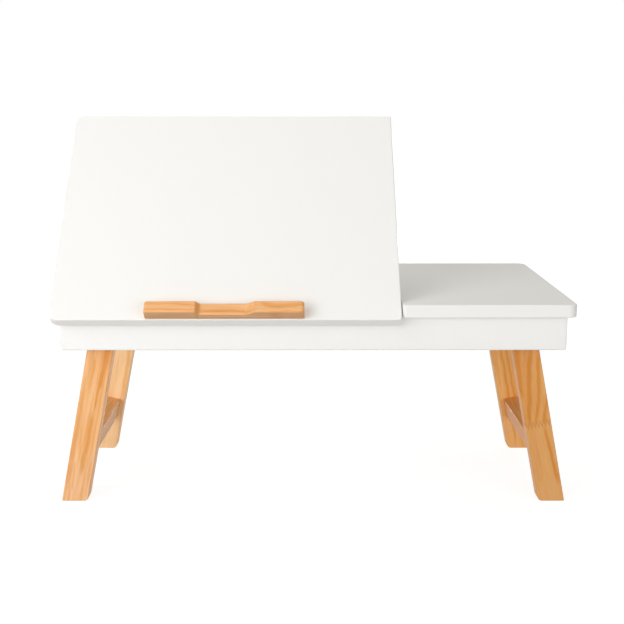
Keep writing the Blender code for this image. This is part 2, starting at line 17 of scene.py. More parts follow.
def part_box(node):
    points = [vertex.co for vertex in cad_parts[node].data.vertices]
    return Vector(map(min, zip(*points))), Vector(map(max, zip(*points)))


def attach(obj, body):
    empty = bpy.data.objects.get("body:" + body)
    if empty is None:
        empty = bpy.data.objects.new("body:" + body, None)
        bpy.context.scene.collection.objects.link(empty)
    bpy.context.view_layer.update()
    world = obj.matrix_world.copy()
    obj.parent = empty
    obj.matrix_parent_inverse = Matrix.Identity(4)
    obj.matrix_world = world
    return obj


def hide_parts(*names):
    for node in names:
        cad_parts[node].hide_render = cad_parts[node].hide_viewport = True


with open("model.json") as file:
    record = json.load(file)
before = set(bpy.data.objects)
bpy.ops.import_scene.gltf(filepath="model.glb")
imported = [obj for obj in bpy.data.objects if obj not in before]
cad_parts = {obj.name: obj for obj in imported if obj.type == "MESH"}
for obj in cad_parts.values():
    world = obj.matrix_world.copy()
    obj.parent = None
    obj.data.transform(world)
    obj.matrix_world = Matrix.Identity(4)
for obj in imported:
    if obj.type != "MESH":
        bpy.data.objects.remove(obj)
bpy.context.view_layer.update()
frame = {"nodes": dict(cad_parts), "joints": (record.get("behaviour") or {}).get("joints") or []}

bl_info = {
    "name": "Laptop table",
    "version": (1, 0, 0),
    "blender": (4, 5, 0),
    "location": "3D View > Sidebar > Laptop table",
    "description": "Builds a laptop table with a tilting lid and folding pine legs",
    "category": "Add Mesh",
}

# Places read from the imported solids
joints = {joint["name"]: joint for joint in frame["joints"]}
lid_hinge = Vector(joints["lid_tilt"]["pos_m"])
stand_hinge = Vector(joints["stand_fold"]["pos_m"])
leg_pivots = {side: Vector(joints[side + "_legs_fold"]["pos_m"]) for side in ("left", "right")}
panel_low, panel_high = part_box("fixed_panel")
lid_low, lid_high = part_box("lid_panel")
leg_low, leg_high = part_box("left_front_leg")
wire_low, wire_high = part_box("wire_stand")
rail_low, rail_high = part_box("centre_rail")
ledge_low, ledge_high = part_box("book_ledge")
pin_low, pin_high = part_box("left_hinge_pin")
middle_y = (panel_low.y + panel_high.y) / 2
side_signs = {"left": -1, "right": 1}
end_signs = {"front": -1, "rear": 1}

# Fineness of curves
arc_steps = 14
quarter_steps = 6
ease_steps = 5
lathe_sides = 48
hole_sides = 40
screw_sides = 32

# An edge that turns more than this is sharp, and points nearer than this are one
sharp_angle = radians(38)
weld_distance = 0.000001
# A face larger than this, in square metres, is no part of a fine curve
arris_area = 0.0000035
# How far a cutter reaches past what it cuts, and the gap between pieces that meet
overrun = 0.002
touch_gap = 0.0003

# Shares of the lid's tilt at which the wire stand has a notch in its rails
notched_tilts = (1.0, 0.84, 0.67, 0.5, 0.34)
# Radius of the holes for the leg bolts, in legs and washers
bolt_hole = 0.0033
# Room for a screw's shank behind its head, in wood and in steel
wood_screw_room = 0.012
steel_screw_room = 0.004
clip_thickness = 0.0012


class LaptopTableSizes(bpy.types.PropertyGroup):
    """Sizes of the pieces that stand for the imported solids."""

    board_thickness: FloatProperty(
        name="Board thickness", description="Thickness of the lid and the fixed panel",
        default=panel_high.z - panel_low.z, min=0.004, unit="LENGTH",
    )
    board_corner: FloatProperty(
        name="Board corner", description="Radius of the top's outer corners seen from above",
        default=0.011, min=0.002, unit="LENGTH",
    )
    seam_corner: FloatProperty(
        name="Seam corner", description="Radius of the corners at the seam seen from above",
        default=0.0040, min=0.0005, unit="LENGTH",
    )
    apron_corner: FloatProperty(
        name="Apron corner", description="Radius of the lower corners of the long aprons",
        default=0.0026, min=0.0005, unit="LENGTH",
    )
    board_ease: FloatProperty(
        name="Board easing", description="Rounding along the edges of the lid and the panel",
        default=0.0015, min=0.0002, unit="LENGTH",
    )
    lower_ease: FloatProperty(
        name="Lower easing", description="Rounding along the lower edges of the lid",
        default=0.0026, min=0.0002, unit="LENGTH",
    )
    apron_ease: FloatProperty(
        name="Apron easing", description="Rounding along the edges of the front and rear aprons",
        default=0.0018, min=0.0002, unit="LENGTH",
    )
    inner_ease: FloatProperty(
        name="Inner easing", description="Rounding along the end aprons and the divider",
        default=0.0008, min=0.0001, unit="LENGTH",
    )
    lid_tilt: FloatProperty(
        name="Lid tilt", description="Angle of the raised lid",
        default=radians(-joints["lid_tilt"]["range_deg"][0]), subtype="ANGLE",
    )
    leg_splay: FloatProperty(
        name="Leg splay", description="How far the unfolded legs lean out from upright",
        default=radians(joints["left_legs_fold"]["range_deg"][1] - 90), subtype="ANGLE",
    )
    leg_width: FloatProperty(
        name="Leg width", description="Width of a leg seen from the front",
        default=0.031, min=0.005, unit="LENGTH",
    )
    leg_ease: FloatProperty(
        name="Leg easing", description="Rounding along the edges of the legs and stretchers",
        default=0.0013, min=0.0002, unit="LENGTH",
    )
    foot_corner: FloatProperty(
        name="Foot corner", description="Radius of the inner corner at the foot of a leg",
        default=0.006, min=0.001, unit="LENGTH",
    )
    stretcher_height: FloatProperty(
        name="Stretcher height", description="Height of the middle of a stretcher above the floor",
        default=0.0615, min=0.02, unit="LENGTH",
    )
    stretcher_width: FloatProperty(
        name="Stretcher width", description="Width of a stretcher along its legs",
        default=0.025, min=0.005, unit="LENGTH",
    )
    stretcher_thickness: FloatProperty(
        name="Stretcher thickness", description="Thickness of a stretcher across its legs",
        default=0.020, min=0.005, unit="LENGTH",
    )
    ledge_length: FloatProperty(
        name="Ledge length", description="Length of the book ledge on the lid",
        default=ledge_high.x - ledge_low.x, min=0.05, unit="LENGTH",
    )
    ledge_depth: FloatProperty(
        name="Ledge depth", description="Depth of the book ledge along the lid",
        default=0.015, min=0.004, unit="LENGTH",
    )
    ledge_height: FloatProperty(
        name="Ledge height", description="How far the book ledge stands up from the lid",
        default=0.016, min=0.004, unit="LENGTH",
    )
    ledge_dip: FloatProperty(
        name="Ledge dip", description="Height of the ledge that is left under its dip",
        default=0.0103, min=0.002, unit="LENGTH",
    )
    ledge_dip_length: FloatProperty(
        name="Dip length", description="Length of the flat part of the ledge's dip",
        default=0.050, min=0.01, unit="LENGTH",
    )
    ledge_ramp: FloatProperty(
        name="Dip ramp", description="Length of the slope at the right end of the dip",
        default=0.0095, min=0.002, unit="LENGTH",
    )
    ledge_left_ramp: FloatProperty(
        name="Dip left ramp", description="Length of the steeper slope at the left end of the dip",
        default=0.0048, min=0.002, unit="LENGTH",
    )
    ledge_setback: FloatProperty(
        name="Ledge setback", description="From the lid's front edge to the ledge",
        default=0.0006, min=0, unit="LENGTH",
    )
    ledge_ease: FloatProperty(
        name="Ledge easing", description="Rounding along the edges of the book ledge",
        default=0.0018, min=0.0002, unit="LENGTH",
    )
    leaf_thickness: FloatProperty(
        name="Hinge leaf", description="Thickness of a lid hinge's leaf",
        default=0.001, min=0.0003, unit="LENGTH",
    )
    knuckle_radius: FloatProperty(
        name="Knuckle radius", description="Radius of a lid hinge's knuckles",
        default=0.0024, min=0.001, unit="LENGTH",
    )
    knuckles: IntProperty(
        name="Knuckles", description="Number of knuckles along a lid hinge", default=5, min=3
    )
    wire_radius: FloatProperty(
        name="Wire radius", description="Radius of the wire stand's wire",
        default=0.0025, min=0.0005, unit="LENGTH",
    )
    stand_foot: FloatProperty(
        name="Stand foot", description="Length of each turned-out foot of the wire stand",
        default=0.011, min=0.002, unit="LENGTH",
    )
    stand_bend: FloatProperty(
        name="Stand bend", description="Radius of the wire stand's bends",
        default=0.006, min=0.003, unit="LENGTH",
    )
    screw_radius: FloatProperty(
        name="Screw head", description="Radius of the countersunk screw heads in the pine",
        default=0.0034, min=0.001, unit="LENGTH",
    )
    small_screw_radius: FloatProperty(
        name="Small screw head", description="Radius of the screw heads in hinges and clips",
        default=0.0019, min=0.0005, unit="LENGTH",
    )


class LaptopTableColours(bpy.types.PropertyGroup):
    """Colours of the finishes, as light reflected from each of red, green and blue."""

    lacquer: FloatVectorProperty(
        name="Lacquer", description="White lacquer on the boards",
        default=(0.917, 0.912, 0.908), subtype="COLOR", min=0, max=1,
    )
    lacquer_shade: FloatVectorProperty(
        name="Lacquer shade", description="The same lacquer where its coat is thinner",
        default=(0.895, 0.886, 0.868), subtype="COLOR", min=0, max=1,
    )
    light_early: FloatVectorProperty(
        name="Light pine", description="Pale wood of the light pine pieces",
        default=(0.928, 0.518, 0.236), subtype="COLOR", min=0, max=1,
    )
    light_late: FloatVectorProperty(
        name="Light pine rings", description="Ring lines of the light pine pieces",
        default=(0.79, 0.335, 0.078), subtype="COLOR", min=0, max=1,
    )
    amber_early: FloatVectorProperty(
        name="Amber pine", description="Pale wood of the amber pine pieces",
        default=(0.765, 0.373, 0.116), subtype="COLOR", min=0, max=1,
    )
    amber_late: FloatVectorProperty(
        name="Amber pine rings", description="Ring lines of the amber pine pieces",
        default=(0.66, 0.252, 0.036), subtype="COLOR", min=0, max=1,
    )
    beech: FloatVectorProperty(
        name="Beech", description="Wood of the dowels",
        default=(0.60, 0.38, 0.20), subtype="COLOR", min=0, max=1,
    )
    zinc: FloatVectorProperty(
        name="Zinc", description="Bright zinc on the steel fittings",
        default=(0.66, 0.67, 0.69), subtype="COLOR", min=0, max=1,
    )
    light_rear_tone: FloatVectorProperty(
        name="Light rear tone", description="The light rear leg's colour over the front leg's",
        default=(1.05, 1.24, 1.50), min=0.5, max=2,
    )
    amber_rear_tone: FloatVectorProperty(
        name="Amber rear tone", description="The amber rear leg's colour over the front leg's",
        default=(1.25, 1.34, 1.46), min=0.5, max=2,
    )
    light_rail_tone: FloatVectorProperty(
        name="Light stretcher tone", description="The light stretcher's colour over its legs'",
        default=(0.88, 0.80, 0.68), min=0.5, max=2,
    )
    amber_rail_tone: FloatVectorProperty(
        name="Amber stretcher tone", description="The amber stretcher's colour over its legs'",
        default=(1.09, 1.02, 1.04), min=0.5, max=2,
    )
    ledge_tone: FloatVectorProperty(
        name="Ledge tone", description="The book ledge's colour over the light legs'",
        default=(0.96, 0.965, 0.99), min=0.5, max=2,
    )
    floor: FloatVectorProperty(
        name="Floor", description="Light that the floor throws back at the table",
        default=(0.60, 0.597, 0.585), subtype="COLOR", min=0, max=1,
    )
    floor_seen: FloatVectorProperty(
        name="Floor seen", description="Colour of the floor under its own glow",
        default=(0.334, 0.332, 0.327), subtype="COLOR", min=0, max=1,
    )
    ambient: FloatVectorProperty(
        name="Ambient", description="Even light that reaches the table from all round",
        default=(0.16, 0.158, 0.154), subtype="COLOR", min=0, max=1,
    )


# Materials

class Nodes:
    """A node tree being written. Each call adds a node and hands back the socket to use next."""

    def __init__(self, tree):
        self.tree = tree
        self.tree.nodes.clear()

    def feed(self, socket, value):
        """Links a socket to what feeds it, or sets its number or colour."""
        if isinstance(value, bpy.types.NodeSocket):
            self.tree.links.new(value, socket)
        else:
            socket.default_value = value

    def node(self, kind, inputs=None, **settings):
        """A new node of a kind, with what its inputs get and its settings."""
        node = self.tree.nodes.new("ShaderNode" + kind)
        for setting, value in settings.items():
            setattr(node, setting, value)
        for socket, value in (inputs or {}).items():
            self.feed(node.inputs[socket], value)
        return node

    def math(self, operation, first, second=0.0, third=0.0, clamp=False):
        """One step of arithmetic, by Blender's name for it."""
        values = {0: first, 1: second, 2: third}
        return self.node("Math", values, operation=operation, use_clamp=clamp).outputs[0]

    def mix(self, share, first, second, blend="MIX"):
        """One colour turning into another as the share goes from 0 to 1."""
        node = self.node("Mix", data_type="RGBA", blend_type=blend)
        self.feed(node.inputs[0], share)
        for socket, value in ((node.inputs[6], first), (node.inputs[7], second)):
            self.feed(socket, value if isinstance(value, bpy.types.NodeSocket) else (*value, 1))
        return node.outputs[2]

    def seen(self):
        """1 where the camera or a gloss shows the surface, and 0 where it lights the table."""
        rays = self.node("LightPath").outputs
        mirrored = self.math("MAXIMUM", rays["Is Glossy Ray"], rays["Is Transmission Ray"])
        return self.math("MAXIMUM", rays["Is Camera Ray"], mirrored)


class Recipe(Nodes):
    """A material being written, with its shader."""

    def __init__(self, name):
        self.material = bpy.data.materials.new(name)
        self.material.use_nodes = True
        super().__init__(self.material.node_tree)
        self.shader = self.node("BsdfPrincipled")
        self.node("OutputMaterial", {"Surface": self.shader.outputs["BSDF"]})

    def set(self, **values):
        """Numbers and sockets for the shader, by its sockets' names with _ for a space."""
        for name, value in values.items():
            self.feed(self.shader.inputs[name.replace("_", " ")], value)

    def place(self, carried=True):
        """Where a point is in metres: along the grain, or in the object's own space."""
        if carried:
            return self.node("Attribute", attribute_name="grain_place").outputs["Vector"]
        return self.node("TexCoord").outputs["Object"]

    def apart(self, point):
        """The X, Y and Z of a point."""
        return self.node("SeparateXYZ", {0: point}).outputs[:3]

    def noise(self, point, scale, shift=(0, 0, 0), detail=2.0, roughness=0.5, output="Fac"):
        """Noise with so many waves to the metre along each axis, moved by a shift."""
        mapping = self.node("Mapping", {"Vector": point, "Scale": scale, "Location": shift})
        inputs = {"Vector": mapping.outputs["Vector"], "Scale": 1.0, "Detail": detail,
                  "Roughness": roughness}
        return self.node("TexNoise", inputs).outputs[output]

    def span(self, value, low, high, to_low=0.0, to_high=1.0):
        """A value between low and high, carried smoothly to between to_low and to_high."""
        inputs = {"Value": value, "From Min": low, "From Max": high,
                  "To Min": to_low, "To Max": to_high}
        return self.node("MapRange", inputs, interpolation_type="SMOOTHSTEP").outputs[0]

    def ramp(self, value, stops):
        """A number that follows (place, number) stops."""
        node = self.node("ValToRGB", {"Fac": value})
        elements = node.color_ramp.elements
        while len(elements) < len(stops):
            elements.new(0.5)
        for element, (place, level) in zip(elements, stops):
            element.position = place
            element.color = (level, level, level, 1)
        return node.outputs["Color"]

    def relief(self, height, depth, strength):
        """Feeds the shader's normal from a height of 0 to 1, which stands for a depth in metres."""
        inputs = {"Height": height, "Distance": depth, "Strength": strength}
        self.set(Normal=self.node("Bump", inputs).outputs["Normal"])

    def arris(self):
        """1 on the fine curves of a piece, such as its rounded corners, and 0 elsewhere."""
        return self.node("Attribute", attribute_name="arris").outputs["Fac"]


def scaled(colour, share):
    """A colour with each of its channels times one share."""
    return tuple(share * value for value in colour)


def white_lacquer(colours):
    """Sprayed satin lacquer: a faint orange peel, with a thinner coat on rounded corners."""
    recipe = Recipe("white_lacquer")
    point = recipe.place()
    edge = recipe.arris()
    cloud = recipe.span(recipe.noise(point, (7, 7, 7), detail=3), 0.3, 0.7)
    thin = recipe.math("MAXIMUM", recipe.math("MULTIPLY", cloud, 0.35),
                       recipe.math("MULTIPLY", edge, 0.75))
    colour = recipe.mix(thin, tuple(colours.lacquer), tuple(colours.lacquer_shade))
    peel = recipe.noise(point, (420, 420, 420), detail=1.5)
    dust = recipe.noise(point, (2600, 2600, 2600), (3, 1, 2), detail=1)
    height = recipe.math("MULTIPLY_ADD", dust, 0.15, peel)
    recipe.relief(height, depth=0.00006, strength=0.35)
    satin = recipe.noise(point, (30, 30, 30), detail=4)
    rough = recipe.span(satin, 0.3, 0.7, 0.36, 0.44)
    rough = recipe.math("MULTIPLY_ADD", edge, -0.05, rough)
    recipe.set(Base_Color=colour, Roughness=rough, IOR=1.47, Specular_IOR_Level=0.42)
    return recipe.material


def ring_pattern(recipe, point, pith, lean, spacing, seed, waver):
    """Growth rings about a pith that runs nearly along Z: 0 in pale wood, 1 in a ring line."""
    swayed = recipe.noise(point, (26, 26, 5.5), (seed, seed * 0.7, 0), detail=2.5,
                          roughness=0.45, output="Color")
    fine = recipe.noise(point, (210, 210, 16), (0, seed, seed * 1.3), output="Color")
    sway_x, sway_y, sway_z = recipe.apart(swayed)
    fine_x = recipe.apart(fine)[0]
    x, y, z = recipe.apart(point)

    def from_pith(along, at, slope, sway):
        moved = recipe.math("MULTIPLY_ADD", z, -slope, recipe.math("SUBTRACT", along, at))
        return recipe.math("MULTIPLY_ADD", recipe.math("SUBTRACT", sway, 0.5), 4 * waver, moved)

    # The ring that a point is in follows from how far it is from the pith
    across = from_pith(x, pith[0], lean[0], sway_x)
    deep = from_pith(y, pith[1], lean[1], sway_y)
    across = recipe.math("MULTIPLY_ADD", recipe.math("SUBTRACT", fine_x, 0.5), 0.0007, across)
    radius = recipe.math("SQRT", recipe.math("ADD", recipe.math("MULTIPLY", across, across),
                                             recipe.math("MULTIPLY", deep, deep)))
    turn = recipe.math("MULTIPLY_ADD", sway_z, 0.9, recipe.math("DIVIDE", radius, spacing))
    share = recipe.math("FRACT", turn)
    # Each year starts pale, darkens slowly and ends in a thin dark line
    line = recipe.ramp(share, ((0.0, 0.12), (0.10, 0.0), (0.42, 0.10), (0.74, 0.52),
                               (0.90, 1.0), (1.0, 0.12)))
    ring = recipe.math("FLOOR", turn)
    # Some years leave a darker line than others
    year = recipe.node("TexWhiteNoise", {"W": recipe.math("ADD", ring, seed)},
                       noise_dimensions="1D").outputs["Value"]
    return recipe.math("MULTIPLY", line, recipe.span(year, 0.0, 1.0, 0.45, 1.0))


def fingers(recipe, point, height, tooth, pitch):
    """1 below a finger joint and 0 above it, and 1 on the joint's own line."""
    x, _, z = recipe.apart(point)
    wave = recipe.math("PINGPONG", x, pitch / 2)
    step = recipe.math("MULTIPLY", wave, tooth / (pitch / 2))
    above = recipe.math("SUBTRACT", recipe.math("SUBTRACT", z, height), step)
    below = recipe.span(above, -0.00008, 0.00008, 1.0, 0.0)
    line = recipe.span(recipe.math("ABSOLUTE", above), 0.0004, 0.0034, 1.0, 0.0)
    return below, line


# A streak in pine: its start and end as (x, z), its half width at each, how dark it is from
# 0 to 1, and how far its middle bows towards X
Streak = namedtuple("Streak", "start end widths depth bow", defaults=(0.0,))


def streak(recipe, x, z, sway, values):
    """How much of a streak's darker wood there is at x and z, where the grain sways."""
    (x_start, z_start), (x_end, z_end) = values.start, values.end
    run = recipe.math("DIVIDE", recipe.math("SUBTRACT", z, z_start), z_end - z_start)
    share = recipe.math("MULTIPLY", run, 1.0, clamp=True)
    centre = recipe.math("MULTIPLY_ADD", share, x_end - x_start, x_start)
    if values.bow:
        arch = recipe.math("MULTIPLY", share, recipe.math("SUBTRACT", 1.0, share))
        centre = recipe.math("MULTIPLY_ADD", arch, 4 * values.bow, centre)
    off = recipe.math("ABSOLUTE", recipe.math("SUBTRACT", recipe.math("ADD", x, sway), centre))
    wide, narrow = values.widths
    half = recipe.math("MULTIPLY_ADD", share, narrow - wide, wide)
    inside = recipe.span(recipe.math("DIVIDE", off, half), 0.25, 1.35, values.depth, 0.0)
    fade = 0.14
    ends = recipe.math("MULTIPLY", recipe.span(run, -fade, fade),
                       recipe.span(run, 1 - fade, 1 + fade, 1.0, 0.0))
    return recipe.math("MULTIPLY", inside, ends)


def toned(colour, tone):
    """A colour times a tone, channel by channel, and always short of full white."""
    return tuple(min(0.98, value * share) for value, share in zip(colour, tone))


def grain_lines(recipe, rings, seed, streaks, joint, lower, bands):
    """How dark the grain is, from 0 to 1, and, with a joint, its lower part and glue line."""
    point = recipe.place()
    x, _, z = recipe.apart(point)
    # How far the grain sways, in metres
    drift = recipe.noise(point, (60, 60, 14), (seed * 3, 0, seed))
    ripple = recipe.noise(point, (80, 80, 62), (seed, seed * 4, 0), detail=1)
    sway = recipe.math("MULTIPLY", recipe.math("SUBTRACT", drift, 0.5), 0.006)
    sway = recipe.math("MULTIPLY_ADD", recipe.math("SUBTRACT", ripple, 0.5), 0.0036, sway)
    broad = recipe.noise(point, (330, 330, 13), (0, seed * 2, seed), roughness=0.55)
    band = recipe.span(broad, 0.40, 0.66, 0.0, bands)

    def with_streaks(line, chosen):
        for values in chosen:
            line = recipe.math("MAXIMUM", line, streak(recipe, x, z, sway, values))
        return line

    line = recipe.math("MAXIMUM", with_streaks(rings, streaks), band)
    if not joint:
        return line, None, None
    below, glue = fingers(recipe, point, *joint)
    *low_rings, low_strength = lower
    low_line = recipe.math("MULTIPLY", ring_pattern(recipe, point, *low_rings), low_strength)
    low_line = recipe.math("MAXIMUM", low_line, recipe.math("MULTIPLY", band, 0.6))
    low_line = with_streaks(low_line, [one for one in streaks if one.start[1] < joint[0]])
    above = recipe.math("MULTIPLY", line, recipe.math("SUBTRACT", 1.0, below))
    return recipe.math("MULTIPLY_ADD", low_line, below, above), below, glue


def pine(name, early, late, pith, spacing, seed, strength, lean=(0.03, 0.0), streaks=(),
         joint=None, lower=None, waver=0.0016, bands=0.3, end_pale=None, painted_under_shade=None):
    """Varnished pine whose grain runs along the piece's own Z.

    The pith is where the rings' middle passes, as (x, y), and lean is its slope. The strength is
    how dark the rings are, waver how far they stray, and bands how dark the broad bands are. A
    joint is (height, tooth length, pitch), and lower holds the ring values of the wood below it.
    The wood fades paler between the two heights of end_pale, and painted_under_shade is the
    share of its colour that a face turned downwards keeps, as a painted shade.
    """
    recipe = Recipe(name)
    point = recipe.place()
    rings = recipe.math("MULTIPLY", ring_pattern(recipe, point, pith, lean, spacing, seed, waver),
                        strength)
    line, below, glue = grain_lines(recipe, rings, seed, streaks, joint, lower, bands)

    # Patches of paler wood between the lines
    patches = recipe.noise(point, (210, 210, 9), (seed * 4, seed, 0), detail=1)
    pale = recipe.span(patches, 0.54, 0.74, 0.0, 0.6)
    if joint:
        pale = recipe.math("MULTIPLY_ADD", below, 0.5, pale, clamp=True)
    if end_pale:
        pale = recipe.math("MAXIMUM", pale, recipe.span(recipe.apart(point)[2], *end_pale))
    colour = recipe.mix(pale, tuple(early), toned(early, (1.03, 1.10, 1.30)))
    colour = recipe.mix(line, colour, tuple(late))

    # Broad warm and cool areas, then fibres, resin ducts, glue, and lacquer worn at corners
    warm = recipe.noise(point, (70, 70, 9), (seed * 2, 0, seed))
    tint = recipe.mix(recipe.span(warm, 0.32, 0.68), (1.04, 1.07, 1.12), (0.97, 0.90, 0.80))
    colour = recipe.mix(0.85, colour, tint, "MULTIPLY")
    fibre = recipe.noise(point, (1500, 1500, 26), (0, seed * 3, 0), detail=3, roughness=0.62)
    shade = recipe.ramp(fibre, ((0.25, 0.84), (0.52, 1.0), (0.8, 1.06)))
    colour = recipe.mix(0.9, colour, shade, "MULTIPLY")
    ducts = recipe.noise(point, (1300, 1300, 60), (seed * 5, 0, 0), detail=0)
    colour = recipe.mix(recipe.span(ducts, 0.74, 0.80, 0.0, 0.16), colour, scaled(late, 0.6))
    if joint:
        colour = recipe.mix(recipe.math("MULTIPLY", glue, 0.5), colour, scaled(late, 0.72))
    colour = recipe.mix(recipe.math("MULTIPLY", recipe.arris(), 0.22), colour, tuple(late))
    # Painted shade: faces that look downwards keep only a share of their colour
    if painted_under_shade:
        facing = recipe.node("TexCoord").outputs["Normal"]
        low = recipe.span(recipe.apart(facing)[2], -0.65, -0.25, 1.0, 0.0)
        colour = recipe.mix(low, colour, painted_under_shade, "MULTIPLY")

    height = recipe.math("MULTIPLY_ADD", fibre, 0.6, recipe.math("MULTIPLY", line, 0.4))
    recipe.relief(height, depth=0.00011, strength=0.5)
    rough = recipe.span(fibre, 0.3, 0.75, 0.50, 0.40)
    rough = recipe.math("MULTIPLY_ADD", line, -0.05, rough)
    recipe.set(Base_Color=colour, Roughness=rough, IOR=1.48, Specular_IOR_Level=0.36)
    return recipe.material


def beech(colours):
    """Plain beech of the dowels, with its short dark flecks."""
    recipe = Recipe("beech")
    point = recipe.place(carried=False)
    fibre = recipe.noise(point, (900, 60, 900), detail=3)
    flecks = recipe.noise(point, (1600, 260, 1600), detail=0)
    pale = tuple(colours.beech)
    colour = recipe.mix(recipe.span(fibre, 0.3, 0.7), pale, scaled(pale, 0.86))
    colour = recipe.mix(recipe.span(flecks, 0.62, 0.70, 0.0, 0.4), colour, scaled(pale, 0.5))
    recipe.relief(fibre, depth=0.00005, strength=0.5)
    recipe.set(Base_Color=colour, Roughness=recipe.span(fibre, 0.3, 0.7, 0.66, 0.55))
    return recipe.material


def bright_zinc(colours):
    """Bright zinc plating on drawn or pressed steel: faint draw lines and a clouded gloss."""
    recipe = Recipe("bright_zinc")
    point = recipe.place(carried=False)
    cloud = recipe.noise(point, (160, 160, 160), detail=4)
    drawn = recipe.noise(point, (60, 2400, 2400))
    zinc = tuple(colours.zinc)
    colour = recipe.mix(recipe.span(cloud, 0.3, 0.7), zinc, toned(zinc, (0.86, 0.87, 0.90)))
    colour = recipe.mix(recipe.math("MULTIPLY", recipe.arris(), 0.25), colour, scaled(zinc, 1.2))
    rough = recipe.math("MULTIPLY_ADD", drawn, 0.06, recipe.span(cloud, 0.25, 0.75, 0.22, 0.36))
    recipe.relief(drawn, depth=0.00002, strength=0.35)
    recipe.set(Base_Color=colour, Roughness=rough, Metallic=1.0)
    return recipe.material


# Shapes

def rounded_outline(corners, steps=arc_steps):
    """Points round a closed outline, from its corners as (x, y, radius)."""
    points = []
    for index, (x, y, radius) in enumerate(corners):
        corner = Vector((x, y))
        if radius <= 0:
            points.append(corner)
            continue
        to_before = (Vector(corners[index - 1][:2]) - corner).normalized()
        to_after = (Vector(corners[(index + 1) % len(corners)][:2]) - corner).normalized()
        half_angle = to_before.angle(to_after) / 2
        centre = corner + (to_before + to_after).normalized() * radius / sin(half_angle)
        first = corner + to_before * radius / tan(half_angle) - centre
        last = corner + to_after * radius / tan(half_angle) - centre
        turn = first.angle(last)
        for step in range(steps + 1):
            share = step / steps
            spoke = first * sin((1 - share) * turn) + last * sin(share * turn)
            points.append(centre + spoke / sin(turn))
    kept = [point for index, point in enumerate(points)
            if (point - points[index - 1]).length > weld_distance]
    return [tuple(point) for point in kept]


def arc(radius, start, end, steps=2 * arc_steps):
    """Points along an arc about the origin."""
    turns = [start + (end - start) * step / steps for step in range(steps + 1)]
    return [(radius * cos(turn), radius * sin(turn)) for turn in turns]


def circle(radius, centre=(0, 0), sides=hole_sides):
    """Points once round a centre."""
    return [(centre[0] + x, centre[1] + y) for x, y in arc(radius, 0, 2 * pi, sides)[:-1]]


def quarter(steps=quarter_steps):
    """Angles from 0 to a right angle."""
    return [pi / 2 * step / steps for step in range(steps + 1)]


def prism(outline, low, high, along="Z"):
    """A solid with one outline all the way along X, Y or Z."""
    order = {"X": lambda u, v, w: (w, u, v), "Y": lambda u, v, w: (u, w, v),
             "Z": lambda u, v, w: (u, v, w)}[along]
    solid = bmesh.new()
    rims = [[solid.verts.new(order(u, v, level)) for u, v in outline] for level in (low, high)]
    for rim in rims:
        solid.faces.new(rim)
    for index in range(len(outline)):
        before = index - 1
        solid.faces.new((rims[0][before], rims[0][index], rims[1][index], rims[1][before]))
    bmesh.ops.recalc_face_normals(solid, faces=solid.faces)
    return solid


def block_solid(low, high):
    """A square-edged block between two corners."""
    outline = [(low[0], low[1]), (high[0], low[1]), (high[0], high[1]), (low[0], high[1])]
    return prism(outline, low[2], high[2])


def ease_edges(solid, width, steps=ease_steps, level=None):
    """Rounds every edge that turns sharply, or only those that lie at one height."""
    edges = [edge for edge in solid.edges
             if len(edge.link_faces) == 2 and edge.calc_face_angle(0) > sharp_angle
             and (level is None
                  or all(abs(vert.co.z - level) < weld_distance for vert in edge.verts))]
    bmesh.ops.bevel(solid, geom=edges, offset=width, segments=steps, profile=0.5,
                    affect="EDGES", clamp_overlap=True)
    return solid


def lathe(profile, matrix=None, sides=lathe_sides):
    """A turned solid about Z, from (radius, height) points that run down its outer side."""
    solid = bmesh.new()
    line = [solid.verts.new((radius, 0, height)) for radius, height in profile]
    edges = [solid.edges.new(pair) for pair in zip(line, line[1:])]
    if profile[0][0] > 0:
        edges.append(solid.edges.new((line[-1], line[0])))
    bmesh.ops.spin(solid, geom=line + edges, cent=(0, 0, 0), axis=(0, 0, 1), angle=2 * pi,
                   steps=sides, use_merge=False, use_duplicate=False)
    bmesh.ops.remove_doubles(solid, verts=solid.verts, dist=weld_distance)
    bmesh.ops.recalc_face_normals(solid, faces=solid.faces)
    if matrix:
        bmesh.ops.transform(solid, matrix=matrix, verts=solid.verts)
    return solid


def as_object(name, solid):
    mesh = bpy.data.meshes.new(name)
    solid.to_mesh(mesh)
    solid.free()
    item = bpy.data.objects.new(name, mesh)
    bpy.context.scene.collection.objects.link(item)
    return item


def joined(name, solids):
    """One object from several solids that don't touch."""
    whole = bmesh.new()
    for solid in solids:
        mesh = bpy.data.meshes.new(name)
        solid.to_mesh(mesh)
        solid.free()
        whole.from_mesh(mesh)
        bpy.data.meshes.remove(mesh)
    return as_object(name, whole)


def settle(item):
    """Makes what the item's modifiers show its own mesh."""
    graph = bpy.context.evaluated_depsgraph_get()
    mesh = bpy.data.meshes.new_from_object(item.evaluated_get(graph))
    item.modifiers.clear()
    old, item.data = item.data, mesh
    bpy.data.meshes.remove(old)


def carve(item, solids):
    """Cuts solids out of an item."""
    for solid in solids:
        cutter = as_object(f"{item.name}_cutter", solid)
        boolean = item.modifiers.new("cut", "BOOLEAN")
        boolean.object = cutter
        boolean.solver = "EXACT"
        settle(item)
        bpy.data.objects.remove(cutter)
    return item


def mark_arrises(mesh):
    """Marks the points that lie on fine curves, such as rounded corners, away from larger faces.

    The long strips of a straight eased edge are larger faces too, so they stay unmarked. A
    rounded corner can end in a larger triangle, so triangles don't count.
    """
    wide = set()
    for face in mesh.polygons:
        if face.area > arris_area and len(face.vertices) != 3:
            wide.update(face.vertices)
    marks = mesh.attributes.new("arris", "FLOAT", "POINT")
    marks.data.foreach_set("value", [0.0 if v in wide else 1.0 for v in range(len(mesh.vertices))])


